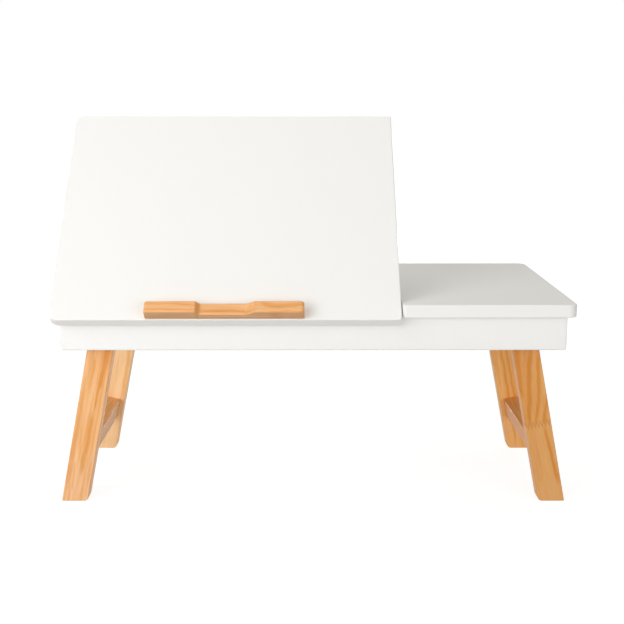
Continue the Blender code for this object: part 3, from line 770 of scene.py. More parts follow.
def put(item, body, material, stands_for=(), space=None, grain=None):
    """Finishes a piece that is drawn in a space, and sets it on its body.

    Each point keeps where it is in the wood or the board: grain is the matrix, in that space, of
    the axes that the material follows, with Z the way of the grain.
    """
    space = space or Matrix.Identity(4)
    mesh = item.data
    low, high = mesh_corners(mesh)
    if grain is None:
        grain = Matrix.Translation((low + high) / 2)
    places = mesh.attributes.new("grain_place", "FLOAT_VECTOR", "POINT")
    inward = grain.inverted()
    for vertex, place in zip(mesh.vertices, places.data):
        place.vector = inward @ vertex.co
    mesh.transform(space)
    low, high = mesh_corners(mesh)
    middle = (low + high) / 2
    mesh.transform(Matrix.Translation(-middle))
    item.matrix_world = Matrix.Translation(middle)
    mesh.materials.clear()
    mesh.materials.append(material)
    mark_arrises(mesh)
    mesh.shade_smooth()
    mesh.set_sharp_from_angle(angle=sharp_angle)
    shading = item.modifiers.new("even_shading", "WEIGHTED_NORMAL")
    shading.keep_sharp = True
    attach(item, body)
    if stands_for:
        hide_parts(*stands_for)


def mesh_corners(mesh):
    """The lowest and highest corner of a mesh in its own space."""
    places = [vertex.co for vertex in mesh.vertices]
    return (Vector([min(place[axis] for place in places) for axis in range(3)]),
            Vector([max(place[axis] for place in places) for axis in range(3)]))


def shared(maker, colours):
    """The material of that maker's name, made once."""
    return bpy.data.materials.get(maker.__name__) or maker(colours)


def lid_space(sizes):
    """The lid's own space: X along the hinge, Y up the lid and Z out of its upper face."""
    return Matrix.Translation(lid_hinge) @ Matrix.Rotation(sizes.lid_tilt, 4, "X")


def leg_space(sizes, side):
    """A pair of legs' own space, about its pivot, with Z up along the legs."""
    turn = -side_signs[side] * sizes.leg_splay
    return Matrix.Translation(leg_pivots[side]) @ Matrix.Rotation(turn, 4, "Y")


def hinge_spots():
    """The middle along X of each lid hinge, by its side."""
    spots = {}
    for side in side_signs:
        low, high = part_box(side + "_hinge_pin")
        spots[side] = (low.x + high.x) / 2
    return spots


def hinge_bed_solids(sizes, side):
    """What to cut for the hinge leaves and knuckles: side 1 in the lid, -1 in the apron."""
    half = (pin_high.x - pin_low.x) / 2 + touch_gap
    reach = leaf_reach() + touch_gap
    deep = side * (touch_gap / 2 + sizes.leaf_thickness + touch_gap)
    solids = []
    for x in hinge_spots().values():
        bottom, top = sorted((-side * overrun, deep))
        solids.append(block_solid((x - half, 0, bottom), (x + half, reach, top)))
        solids.append(prism(circle(sizes.knuckle_radius + touch_gap), x - half - touch_gap,
                            x + half + touch_gap, "X"))
    return solids


def leaf_reach():
    """How far a hinge leaf reaches back from the hinge's axis."""
    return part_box("left_hinge_frame_leaf")[1].y - lid_hinge.y


def screw_solid(radius, matrix, depth=None):
    """A countersunk screw head with a cross recess, its face at the origin and facing +Z."""
    depth = depth or radius * 0.8
    rim = radius * 0.08
    head = lathe([(0, 0), (radius - rim, 0), (radius, -rim), (radius * 0.5, -depth), (0, -depth)],
                 sides=screw_sides)
    item = as_object("screw_blank", head)
    wing, slot, recess = radius * 0.62, radius * 0.13, radius * 0.42
    carve(item, [block_solid((-wing, -slot, -recess), (wing, slot, overrun)),
                 block_solid((-slot, -wing, -recess), (slot, wing, overrun))])
    solid = bmesh.new()
    solid.from_mesh(item.data)
    bpy.data.objects.remove(item)
    bmesh.ops.transform(solid, matrix=matrix, verts=solid.verts)
    return solid


def countersink(radius, matrix, room=wood_screw_room):
    """The room for a screw head and its shank."""
    wide, shank = radius + 0.00005, radius * 0.45
    return lathe([(0, overrun), (wide, overrun), (wide, 0), (shank, -radius * 0.85),
                  (shank, -room), (0, -room)], matrix, screw_sides)


def put_screws(name, body, seats, radius, colours, sink=0.0, depth=None, space=None):
    """Sets a screw head in each seat, sunk a little under the face."""
    lower = Matrix.Translation((0, 0, -sink))
    screws = joined(name, [screw_solid(radius, seat @ lower, depth) for seat in seats])
    put(screws, body, shared(bright_zinc, colours), space=space)


class Builder:
    """What every operator here shares: it builds its pieces from the scene's sizes and colours."""

    bl_options = {"REGISTER", "UNDO"}

    def execute(self, context):
        scene = context.scene
        self.build(scene.laptop_table_sizes, scene.laptop_table_colours)
        return {"FINISHED"}


class LAPTOPTABLE_OT_lid_board(Builder, bpy.types.Operator):
    """Build the tilting lid's board, with the beds for its hinges"""

    bl_idname = "laptop_table.lid_board"
    bl_label = "Lid board"

    def build(self, sizes, colours):
        inset = lid_hinge.y - panel_low.y
        under = panel_low.z - lid_hinge.z
        depth = panel_high.y - panel_low.y
        corner = sizes.board_corner
        outline = rounded_outline([
            (lid_low.x, -inset, corner),
            (lid_high.x, -inset, sizes.seam_corner),
            (lid_high.x, depth - inset, 0),
            (lid_low.x, depth - inset, corner),
        ])
        solid = prism(outline, under, under + sizes.board_thickness)
        ease_edges(solid, sizes.lower_ease, level=under)
        ease_edges(solid, sizes.board_ease)
        board = carve(as_object("lid_board", solid), hinge_bed_solids(sizes, 1))
        put(board, "lid", shared(white_lacquer, colours), ["lid_panel"],
            lid_space(sizes))


class LAPTOPTABLE_OT_panel_board(Builder, bpy.types.Operator):
    """Build the fixed panel beside the lid"""

    bl_idname = "laptop_table.panel_board"
    bl_label = "Fixed panel"

    def build(self, sizes, colours):
        low, high = panel_low, panel_high
        corner = sizes.board_corner
        outline = rounded_outline([
            (low.x, low.y, sizes.seam_corner), (high.x, low.y, corner),
            (high.x, high.y, corner), (low.x, high.y, 0),
        ])
        solid = ease_edges(prism(outline, low.z, high.z), sizes.board_ease)
        put(as_object("panel_board", solid), "frame", shared(white_lacquer, colours),
            ["fixed_panel"])


class LAPTOPTABLE_OT_frame_boards(Builder, bpy.types.Operator):
    """Build the four aprons and the divider under the seam"""

    bl_idname = "laptop_table.frame_boards"
    bl_label = "Aprons and divider"

    def build(self, sizes, colours):
        lacquer = shared(white_lacquer, colours)
        for side in (*end_signs, *side_signs):
            node = side + "_apron"
            low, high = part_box(node)
            if side in end_signs:
                corner = sizes.apron_corner
                outline = rounded_outline([
                    (low.x, low.z, corner), (high.x, low.z, corner),
                    (high.x, high.z, 0), (low.x, high.z, 0),
                ])
                solid = ease_edges(prism(outline, low.y, high.y, "Y"), sizes.apron_ease)
            else:
                solid = ease_edges(block_solid(low, high), sizes.inner_ease)
            board = as_object(node + "_board", solid)
            if side == "front":
                beds = hinge_bed_solids(sizes, -1)
                for bed in beds:
                    bmesh.ops.translate(bed, vec=lid_hinge, verts=bed.verts)
                carve(board, beds)
            put(board, "frame", lacquer, [node])

        low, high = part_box("seam_divider")
        divider = as_object("divider_board", ease_edges(block_solid(low, high), sizes.inner_ease))
        fold_room = 0.002
        top = low.z + 2 * (leg_pivots["left"].z - low.z) + fold_room - touch_gap
        cuts = []
        for end in end_signs:
            near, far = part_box(f"left_{end}_leg")
            cuts.append(block_solid((low.x - overrun, near.y - fold_room, low.z - overrun),
                                    (high.x + overrun, far.y + fold_room, top)))
        carve(divider, cuts)
        put(divider, "frame", lacquer, ["seam_divider"])


class LAPTOPTABLE_OT_book_ledge(Builder, bpy.types.Operator):
    """Build the pine ledge that stops a book from sliding off the lid"""

    bl_idname = "laptop_table.book_ledge"
    bl_label = "Book ledge"

    def build(self, sizes, colours):
        middle = (ledge_low.x + ledge_high.x) / 2
        half, half_dip = sizes.ledge_length / 2, sizes.ledge_dip_length / 2
        tall, low = sizes.ledge_height, sizes.ledge_dip
        ramp_middle = half_dip + sizes.ledge_ramp / 2
        left_dip = ramp_middle - sizes.ledge_left_ramp / 2
        left_end = ramp_middle + sizes.ledge_left_ramp / 2
        corner, right_lip, right_hollow, left_hollow, left_lip = 0.0042, 0.004, 0.01, 0.003, 0.002
        outline = rounded_outline([
            (-half, 0, 0), (half, 0, 0), (half, tall, corner),
            (half_dip + sizes.ledge_ramp, tall, right_lip), (half_dip, low, right_hollow),
            (-left_dip, low, left_hollow), (-left_end, tall, left_lip), (-half, tall, corner),
        ])
        base = panel_low.z - lid_hinge.z + sizes.board_thickness + touch_gap
        front = sizes.ledge_setback - (lid_hinge.y - panel_low.y)
        solid = prism([(middle + x, base + z) for x, z in outline], front,
                      front + sizes.ledge_depth, "Y")
        ease_edges(solid, sizes.ledge_ease)
        ledge = as_object("pine_ledge", solid)
        centre = Vector((middle, front + sizes.ledge_depth / 2, base + tall / 2))
        # Grain runs along the lid's X, and the wood's own X runs up the lid
        grain = Matrix.Translation(centre) @ Matrix(((0, 0, 1), (1, 0, 0), (0, 1, 0))).to_4x4()
        light = (colours.light_early, colours.light_late)
        # The ledge's faces that look downwards get a painted shade
        wood = pine(
            "ledge_pine", *(toned(colour, colours.ledge_tone) for colour in light),
            pith=(0.010, -0.034), lean=(0.01, 0.03), spacing=0.0034, seed=4.3, strength=0.55,
            bands=0.45, painted_under_shade=(0.80, 0.83, 0.90),
            streaks=(
                Streak((0.0038, -0.094), (0.0030, -0.034), (0.0014, 0.0012), 0.60),
                Streak((-0.0042, -0.094), (-0.0040, -0.030), (0.0016, 0.0010), 0.66),
                Streak((0.0000, -0.0325), (0.0002, -0.0285), (0.0120, 0.0120), 0.75),
                Streak((-0.0030, -0.026), (-0.0036, 0.036), (0.0019, 0.0022), 0.80),
                Streak((0.0062, -0.020), (0.0066, 0.030), (0.0007, 0.0007), 0.45),
                Streak((0.0046, 0.040), (0.0040, 0.094), (0.0032, 0.0028), 0.85, -0.0040),
                Streak((-0.0066, 0.050), (-0.0062, 0.094), (0.0012, 0.0010), 0.55),
            ),
        )
        put(ledge, "lid", wood, ["book_ledge"], lid_space(sizes), grain)


def leg_outline(sizes, side):
    """A leg in its own X and Z about its pivot: a round crown, and a foot cut level."""
    half = sizes.leg_width / 2
    splay = sizes.leg_splay
    height = leg_pivots["left"].z

    def floor_at(across):
        return (-across * sin(splay) - height) / cos(splay)

    outline = rounded_outline([
        (half, half, half), (-half, half, half),
        (-half, floor_at(-half), sizes.foot_corner), (half, floor_at(half), 0),
    ])
    return [(side * across, along) for across, along in outline]


class LAPTOPTABLE_OT_legs(Builder, bpy.types.Operator):
    """Build both pairs of pine legs with their stretchers"""

    bl_idname = "laptop_table.legs"
    bl_label = "Legs and stretchers"

    def woods(self, colours):
        """The pine of each leg and stretcher."""
        light = (colours.light_early, colours.light_late)
        amber = (colours.amber_early, colours.amber_late)
        pale = [toned(colour, colours.light_rear_tone) for colour in light]
        honey = [toned(colour, colours.amber_rear_tone) for colour in amber]
        light_rail = [toned(colour, colours.light_rail_tone) for colour in light]
        amber_rail = [toned(colour, colours.amber_rail_tone) for colour in amber]
        return {
            "left_front_leg": pine(
                "left_front_pine", *light, pith=(0.022, 0.060), lean=(0.09, 0.0), spacing=0.0048,
                seed=2.1, strength=0.35, waver=0.0022, bands=0.66, end_pale=(-0.138, -0.178),
                streaks=(
                    Streak((0.0095, -0.010), (0.0045, -0.104), (0.0062, 0.0012), 1.0),
                    Streak((0.0044, -0.104), (0.0032, -0.182), (0.0044, 0.0034), 0.88),
                    Streak((-0.0052, -0.036), (-0.0040, -0.074), (0.0030, 0.0014), 0.74),
                    Streak((-0.0126, -0.058), (-0.0112, -0.176), (0.0026, 0.0040), 0.66),
                    Streak((-0.0070, -0.168), (-0.0040, -0.205), (0.0018, 0.0016), 0.52),
                ),
            ),
            "left_rear_leg": pine(
                "left_rear_pine", *pale, pith=(-0.050, -0.020), lean=(0.01, 0.02), spacing=0.0030,
                seed=7.7, strength=0.30, bands=0.25,
                streaks=(Streak((0.0095, -0.020), (0.0125, -0.150), (0.0036, 0.0032), 0.80),),
            ),
            "left_stretcher": pine(
                "left_stretcher_pine", *light_rail, pith=(0.040, 0.020), lean=(0.01, 0.03),
                spacing=0.0040, seed=5.2, strength=0.9,
            ),
            "right_front_leg": pine(
                "right_front_pine", *amber, pith=(-0.060, 0.034), lean=(0.12, 0.0),
                spacing=0.0060, seed=3.4, strength=0.30, waver=0.0014, bands=0.30,
                joint=(-0.1225, 0.0072, 0.0042), end_pale=(-0.160, -0.210),
                lower=((0.060, 0.030), (0.0, 0.02), 0.0046, 9.1, 0.0010, 0.30),
                streaks=(
                    Streak((0.0056, -0.024), (-0.0100, -0.118), (0.0040, 0.0032), 1.0, -0.0018),
                    Streak((0.0140, -0.030), (-0.0026, -0.118), (0.0030, 0.0024), 0.95, 0.0010),
                    Streak((0.0160, -0.080), (0.0052, -0.121), (0.0026, 0.0028), 0.95),
                    Streak((-0.0105, -0.014), (-0.0140, -0.082), (0.0046, 0.0022), 0.95),
                    Streak((0.0000, -0.014), (-0.0080, -0.060), (0.0018, 0.0008), 0.50),
                    Streak((0.0060, -0.124), (0.0128, -0.196), (0.0026, 0.0028), 0.95),
                    Streak((-0.0060, -0.150), (-0.0045, -0.215), (0.0022, 0.0030), 0.28),
                ),
            ),
            "right_rear_leg": pine(
                "right_rear_pine", *honey, pith=(0.046, 0.012), lean=(0.02, 0.0), spacing=0.0040,
                seed=6.6, strength=0.42, bands=0.35,
                streaks=(
                    Streak((-0.0020, -0.040), (-0.0030, -0.215), (0.0022, 0.0024), 0.90),
                    Streak((0.0064, -0.040), (0.0052, -0.215), (0.0022, 0.0020), 0.80),
                ),
            ),
            "right_stretcher": pine(
                "right_stretcher_pine", *amber_rail, pith=(0.030, 0.028), lean=(0.02, 0.01),
                spacing=0.0038, seed=8.8, strength=0.9,
            ),
        }

    def build(self, sizes, colours):
        woods = self.woods(colours)
        depth = leg_high.y - leg_low.y
        for side, sign in side_signs.items():
            space = leg_space(sizes, side)
            outline = leg_outline(sizes, sign)
            for end in end_signs:
                node = f"{side}_{end}_leg"
                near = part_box(node)[0].y - middle_y
                solid = ease_edges(prism(outline, near, near + depth, "Y"), sizes.leg_ease)
                leg = as_object(f"{side}_{end}_pine_leg", solid)
                carve(leg, [prism(circle(bolt_hole), near - overrun, near + depth + overrun, "Y")])
                grain = Matrix.Translation((0, near + depth / 2, 0))
                put(leg, side + "_legs", woods[node], [node], space, grain)
            node = side + "_stretcher"
            drop = (leg_pivots[side].z - sizes.stretcher_height) / cos(sizes.leg_splay)
            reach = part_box(f"{side}_rear_leg")[0].y - middle_y - touch_gap
            half_width, half_thick = sizes.stretcher_width / 2, sizes.stretcher_thickness / 2
            solid = block_solid((-half_thick, -reach, -drop - half_width),
                                (half_thick, reach, -drop + half_width))
            rail = as_object(f"{side}_pine_stretcher", ease_edges(solid, sizes.leg_ease))
            grain = Matrix.Translation((0, 0, -drop)) @ Matrix.Rotation(-pi / 2, 4, "X")
            put(rail, side + "_legs", woods[node], [node], space, grain)


class LAPTOPTABLE_OT_rails(Builder, bpy.types.Operator):
    """Build the notched rails and the blocks that carry the legs"""

    bl_idname = "laptop_table.rails"
    bl_label = "Rails and blocks"

    def notch_places(self, sizes):
        """Where along Y the stand's feet meet the rails at each height of the lid."""
        away = Vector((0, stand_hinge.y - lid_hinge.y, stand_hinge.z - lid_hinge.z))
        foot_z = wire_low.z + sizes.wire_radius - lid_hinge.z
        foot_y = wire_high.y - sizes.wire_radius - lid_hinge.y
        arm = Vector((foot_y - away.y, foot_z - away.z)).length
        places = []
        for share in notched_tilts:
            turned = Matrix.Rotation(sizes.lid_tilt * (share - 1), 4, "X") @ away
            places.append(lid_hinge.y + turned.y + sqrt(arm ** 2 - (turned.z - foot_z) ** 2))
        return places

    def rail(self, sizes, node, wood, notched):
        """A rail from front to rear, with notches between the two places along X in notched."""
        low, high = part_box(node)
        if node == "centre_rail":
            outline = [(low.x, low.z), (high.x, low.z), (high.x, high.z), (low.x, high.z)]
        else:
            side = side_signs[node.split("_")[0]]
            outer, inner = (low.x, high.x) if side < 0 else (high.x, low.x)
            slant = side * (high.z - low.z) * tan(sizes.leg_splay)
            outline = [(outer, low.z), (inner + slant, low.z), (inner, high.z), (outer, high.z)]
        ease, notch_depth = 0.0008, 0.0018
        rail = as_object(node + "_wood", ease_edges(prism(outline, low.y, high.y, "Y"), ease))
        if notched:
            radius = sizes.wire_radius + touch_gap
            level = rail_high.z + radius - notch_depth
            carve(rail, [prism(circle(radius, (y, level)), *notched, "X")
                         for y in self.notch_places(sizes)])
        grain = Matrix.Translation((low + high) / 2) @ Matrix.Rotation(-pi / 2, 4, "X")
        put(rail, "frame", wood, [node], grain=grain)

    def block(self, sizes, colours, side, end, wood):
        """A block with the hole for its insert, and two screws that hold it to the frame."""
        name = f"{side}_{end}"
        sign, way = side_signs[side], end_signs[end]
        low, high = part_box(name + "_leg_block")
        ease, screw_inset, screw_rise = 0.0009, 0.0075, 0.0065
        block = as_object(name + "_block_wood", ease_edges(block_solid(low, high), ease))
        face_y = low.y if way > 0 else high.y
        screw_x = (high.x if sign < 0 else low.x) + sign * screw_inset
        seats = [Matrix.Translation((screw_x, face_y, (low.z + high.z) / 2 + rise))
                 @ Matrix.Rotation(way * pi / 2, 4, "X") for rise in (-screw_rise, screw_rise)]
        near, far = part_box(name + "_leg_insert")
        pivot = leg_pivots[side]
        hole = prism(circle((far.x - near.x) / 2 + touch_gap / 2, (pivot.x, pivot.z)),
                     min(near.y, face_y) - overrun * (way > 0),
                     max(far.y, face_y) + overrun * (way < 0), "Y")
        carve(block, [hole] + [countersink(sizes.screw_radius, seat) for seat in seats])
        grain = Matrix.Translation((low + high) / 2) @ Matrix.Rotation(pi / 2, 4, "Y")
        put(block, "frame", wood, [name + "_leg_block"], grain=grain)
        put_screws(name + "_block_screws", "frame", seats, sizes.screw_radius, colours,
                   sink=0.0002)

    def build(self, sizes, colours):
        light = (colours.light_early, colours.light_late)
        foot_end = wire_low.x + sizes.stand_foot + sizes.wire_radius + overrun
        rails = (
            ("centre_rail", (0.020, 0.030), 0.0040, 1.7,
             (rail_low.x - overrun, wire_high.x + overrun)),
            ("left_stop_rail", (0.034, -0.018), 0.0046, 6.1,
             (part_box("left_apron")[1].x, foot_end)),
            ("right_stop_rail", (-0.028, 0.026), 0.0042, 3.9, None),
        )
        for node, pith, spacing, seed, notched in rails:
            wood = pine(node + "_pine", *light, pith=pith, spacing=spacing, seed=seed,
                        strength=0.8)
            self.rail(sizes, node, wood, notched)
        for number, side in enumerate(side_signs):
            for end, way in end_signs.items():
                wood = pine(f"{side}_{end}_block_pine", *light,
                            pith=(0.024 - 0.016 * number, 0.018 * way), spacing=0.0040,
                            seed=1.3 + 2.7 * number + way, strength=0.75)
                self.block(sizes, colours, side, end, wood)


class LAPTOPTABLE_OT_leg_bolts(Builder, bpy.types.Operator):
    """Build the socket-head bolts and washers that the legs turn on"""

    bl_idname = "laptop_table.leg_bolts"
    bl_label = "Leg bolts"

    def bolt_profile(self, head, length):
        """Down the outside of a bolt with a low domed head, from the middle of its top."""
        tall, shank, crown, shoulder, point = 0.003, 0.003, 0.0003, 0.0009, 0.0006
        dome = [(head * 0.62 * sin(turn), crown * (cos(turn) - 1)) for turn in quarter()]
        edge = [(head - shoulder + shoulder * sin(turn), shoulder * cos(turn) - shoulder - crown)
                for turn in quarter()]
        return dome + edge + [(head, -tall), (shank, -tall), (shank, point - length),
                              (shank - point, -length), (0, -length)]

    def washer_profile(self, rim, half):
        """Round the section of a washer with eased edges."""
        hole, ease = bolt_hole, 0.00025
        return [(hole, half - ease), (hole + ease, half), (rim - ease, half), (rim, half - ease),
                (rim, ease - half), (rim - ease, -half), (hole + ease, -half), (hole, ease - half)]

    def build(self, sizes, colours):
        zinc = shared(bright_zinc, colours)
        socket_radius, socket_depth = 0.0023, 0.0022
        for side in side_signs:
            pivot = leg_pivots[side]
            for end, way in end_signs.items():
                name = f"{side}_{end}"
                low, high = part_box(name + "_leg_bolt")
                profile = self.bolt_profile((high.x - low.x) / 2, high.y - low.y)
                bolt = as_object(name + "_bolt", lathe(profile))
                carve(bolt, [prism(circle(socket_radius, sides=6), -socket_depth, overrun)])
                seat = (Matrix.Translation((pivot.x, low.y if way > 0 else high.y, pivot.z))
                        @ Matrix.Rotation(way * pi / 2, 4, "X"))
                put(bolt, "frame", zinc, [name + "_leg_bolt"], seat,
                    Matrix.Identity(4))

                low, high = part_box(name + "_leg_washer")
                profile = self.washer_profile((high.x - low.x) / 2, (high.y - low.y) / 2)
                washer = as_object(name + "_washer", lathe(profile))
                seat = (Matrix.Translation((pivot.x, (low.y + high.y) / 2, pivot.z))
                        @ Matrix.Rotation(pi / 2, 4, "X"))
                put(washer, "frame", zinc, [name + "_leg_washer"], seat,
                    Matrix.Identity(4))


class LAPTOPTABLE_OT_hinges(Builder, bpy.types.Operator):
    """Build the two butt hinges of the lid, with their pins and screws"""

    bl_idname = "laptop_table.hinges"
    bl_label = "Lid hinges"

    def leaf(self, name, sizes, x, side):
        """A leaf with its share of the knuckles: side 1 lies in the lid, -1 in the apron."""
        inner, outer = touch_gap / 2, touch_gap / 2 + sizes.leaf_thickness
        radius, reach = sizes.knuckle_radius, leaf_reach()
        length = pin_high.x - pin_low.x
        edge = arc(radius, asin(outer / radius), 2 * pi + asin(inner / radius))
        edge += [(reach, inner), (reach, outer)]
        solid = prism([(y, side * z) for y, z in edge], -length / 2, length / 2, "X")
        bmesh.ops.translate(solid, vec=(x, 0, 0), verts=solid.verts)

        pin_room, knuckle_room, corner = 0.0001, radius + touch_gap, 0.002
        bore = circle((pin_high.z - pin_low.z) / 2 + pin_room)
        cuts = [prism(bore, x - length, x + length, "X")]
        step = length / sizes.knuckles
        for knuckle in range(1 if side < 0 else 0, sizes.knuckles, 2):
            low = x - length / 2 + knuckle * step
            high = low + step
            low -= overrun if knuckle == 0 else touch_gap / 2
            high += overrun if knuckle == sizes.knuckles - 1 else touch_gap / 2
            cuts.append(block_solid((low, -knuckle_room, -knuckle_room),
                                    (high, knuckle_room, knuckle_room)))
        for way in (-1, 1):
            end = x + way * length / 2
            rim = [(end - way * corner * (1 - sin(turn)), reach - corner * (1 - cos(turn)))
                   for turn in quarter(8)]
            outside = [(end + way * overrun, reach - corner),
                       (end + way * overrun, reach + overrun),
                       (end - way * corner, reach + overrun)]
            cuts.append(prism(rim + outside, -2 * knuckle_room, 2 * knuckle_room))
        return carve(as_object(name, solid), cuts)

    def pin_profile(self):
        """Down the outside of a hinge pin, with a low crown at each end."""
        radius, half = (pin_high.z - pin_low.z) / 2, (pin_high.x - pin_low.x) / 2
        crown = 0.0005
        dome = [(radius * sin(turn), half - crown + crown * cos(turn)) for turn in quarter()]
        return dome + [(rim, -height) for rim, height in reversed(dome)]

    def build(self, sizes, colours):
        zinc = shared(bright_zinc, colours)
        screw_depth, sink = 0.0012, 0.00005
        across = (sizes.knuckle_radius + touch_gap * 2 + leaf_reach()) / 2
        for hinge_side, x in hinge_spots().items():
            for leaf_name, side in (("frame", -1), ("lid", 1)):
                name = f"{hinge_side}_{leaf_name}_leaf"
                space = lid_space(sizes) if side > 0 else Matrix.Translation(lid_hinge)
                leaf = self.leaf(name, sizes, x, side)
                # The open face of a leaf looks at the other leaf
                turn = Matrix.Rotation(pi if side > 0 else 0, 4, "X")
                seats = [Matrix.Translation((x + shift, across, side * touch_gap / 2)) @ turn
                         for shift in (-0.018, 0.0, 0.018)]
                carve(leaf, [countersink(sizes.small_screw_radius, seat, steel_screw_room)
                             for seat in seats])
                put(leaf, leaf_name, zinc,
                    [f"{hinge_side}_hinge_{leaf_name}_leaf"], space)
                put_screws(name + "_screws", leaf_name, seats, sizes.small_screw_radius, colours,
                           sink, screw_depth, space)
            pin = as_object(f"{hinge_side}_hinge_pin_steel", lathe(self.pin_profile()))
            seat = (Matrix.Translation(lid_hinge + Vector((x, 0, 0)))
                    @ Matrix.Rotation(pi / 2, 4, "Y"))
            put(pin, "frame", zinc, [f"{hinge_side}_hinge_pin"], seat,
                Matrix.Identity(4))


class LAPTOPTABLE_OT_stand(Builder, bpy.types.Operator):
    """Build the bent wire stand and the two clips that hold it under the lid"""

    bl_idname = "laptop_table.stand"
    bl_label = "Wire stand"

    def wire_points(self, sizes):
        """Places along the wire, each with its share of the wire's radius."""
        foot, bend, radius = sizes.stand_foot, sizes.stand_bend, sizes.wire_radius
        hinge = Vector((0, stand_hinge.y, stand_hinge.z))
        feet = Vector((0, wire_high.y - radius, wire_low.z + radius))
        length, down = (feet - hinge).length, (feet - hinge).normalized()
        left, right = wire_low.x + foot, wire_high.x - foot
        outline = [(left - foot, length, 0), (left, length, bend), (left, 0, bend),
                   (right, 0, bend), (right, length, bend), (right + foot, length, 0)]
        route = [hinge + Vector((u, 0, 0)) + down * v
                 for u, v in rounded_outline(outline, 2 * arc_steps)]
        crown, crown_turn = radius * 0.28, 0.8
        caps = []
        for end, before in ((route[0], route[1]), (route[-1], route[-2])):
            way = (end - before).normalized()
            caps.append([(end - way * crown * (1 - sin(turn * crown_turn)), cos(turn * crown_turn))
                         for turn in quarter(5)])
        return caps[0][::-1] + [(place, 1.0) for place in route[1:-1]] + caps[1]

    def wire(self, sizes):
        """The bent wire as a tube along its places."""
        points = self.wire_points(sizes)
        curve = bpy.data.curves.new("wire_route", "CURVE")
        curve.dimensions = "3D"
        curve.bevel_depth = sizes.wire_radius
        curve.bevel_resolution = 8
        curve.use_fill_caps = True
        spline = curve.splines.new("POLY")
        spline.points.add(len(points) - 1)
        for point, (place, share) in zip(spline.points, points):
            point.co = (*place, 1)
            point.radius = share
        holder = bpy.data.objects.new("wire_route", curve)
        bpy.context.scene.collection.objects.link(holder)
        graph = bpy.context.evaluated_depsgraph_get()
        mesh = bpy.data.meshes.new_from_object(holder.evaluated_get(graph))
        bpy.data.objects.remove(holder)
        bpy.data.curves.remove(curve)
        solid = bmesh.new()
        solid.from_mesh(mesh)
        bpy.data.meshes.remove(mesh)
        bmesh.ops.remove_doubles(solid, verts=solid.verts, dist=weld_distance)
        bmesh.ops.recalc_face_normals(solid, faces=solid.faces)
        return solid

    def clip(self, sizes, centre, low, high):
        """A saddle clip in the lid's space, bent round the wire, with a flange at each side."""
        seat = sizes.wire_radius
        inner = seat + touch_gap
        outer, under = inner + clip_thickness, seat - clip_thickness
        flange, bend = outer + 0.008, 0.0008
        outline = [(flange, seat), (flange, under), (outer + bend, under)]
        outline += [(outer + bend - bend * sin(turn), under - bend + bend * cos(turn))
                    for turn in quarter()[1:]]
        outline += arc(outer, 0, -pi)
        outline += [(-outer - bend + bend * cos(turn), under - bend + bend * sin(turn))
                    for turn in quarter()]
        outline += [(-flange, under), (-flange, seat), (-inner, seat)]
        outline += arc(inner, -pi, 0) + [(inner, seat)]
        y, z = centre
        return prism([(y + u, z + v) for u, v in outline], low, high, "X")

    def build(self, sizes, colours):
        zinc = shared(bright_zinc, colours)
        wire = as_object("stand_wire", self.wire(sizes))
        put(wire, "stand", zinc, ["wire_stand"])
        space = lid_space(sizes)
        centre = space.inverted() @ stand_hinge
        face = centre.z + sizes.wire_radius - clip_thickness
        screw_away = sizes.wire_radius + touch_gap + clip_thickness + 0.0045
        screw_depth = 0.0011
        for side in side_signs:
            node = f"stand_{side}_clip"
            low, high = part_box(node)
            clip = as_object(node + "_steel",
                             self.clip(sizes, (centre.y, centre.z), low.x, high.x))
            seats = [Matrix.Translation(((low.x + high.x) / 2, centre.y + way, face))
                     @ Matrix.Rotation(pi, 4, "X") for way in (-screw_away, screw_away)]
            carve(clip, [countersink(sizes.small_screw_radius, seat, steel_screw_room)
                         for seat in seats])
            put(clip, "lid", zinc, [node], space)
            put_screws(node + "_screws", "lid", seats, sizes.small_screw_radius, colours,
                       depth=screw_depth, space=space)


class LAPTOPTABLE_OT_hidden_fixings(Builder, bpy.types.Operator):
    """Give the dowels and threaded inserts inside the wood their own finishes"""

    bl_idname = "laptop_table.hidden_fixings"
    bl_label = "Dowels and inserts"

    def build(self, sizes, colours):
        for name, node in frame["nodes"].items():
            if name.endswith("_dowel"):
                material = shared(beech, colours)
            elif name.endswith("_insert"):
                material = shared(bright_zinc, colours)
            else:
                continue
            node.data.materials.clear()
            node.data.materials.append(material)


# A soft box lamp aimed at a height above the floor's middle, from an azimuth and an elevation in
# degrees, where azimuth 0 is in front of the table and 90 to its right
Lamp = namedtuple("Lamp", "name azimuth elevation distance width height watts colour aim_height",
                  defaults=((1, 1, 1), 0.2))

lamps = (
    Lamp("left_lamp", -48, 26, 2.2, 1.4, 1.4, 15.2),
    Lamp("low_lamp", -6, 9, 2.6, 2.0, 0.8, 7.6),
    Lamp("low_left_lamp", -40, 9, 2.4, 1.4, 0.8, 13.1),
    Lamp("low_right_lamp", 38, 9, 2.6, 1.4, 0.8, 14.5),
    Lamp("top_lamp", 180, 80, 2.4, 2.0, 2.0, 21.4, colour=(1.0, 0.97, 0.885)),
    # Lower than the stretchers, so that it lights only what faces the back
    Lamp("back_lamp", 180, 0, 2.4, 2.0, 0.07, 22.0, aim_height=0.045),
)

# The camera stands at the photograph's view
camera_place = (-0.0085, -1.2770, 0.4825)
camera_turn = (radians(90 - 11.494), radians(0.065), radians(0.15))
camera_lens = 59.3
camera_sensor = 36.0
camera_shift = (0.0146, -0.0100)
camera_clip = (0.05, 100)
floor_reach = 14.0


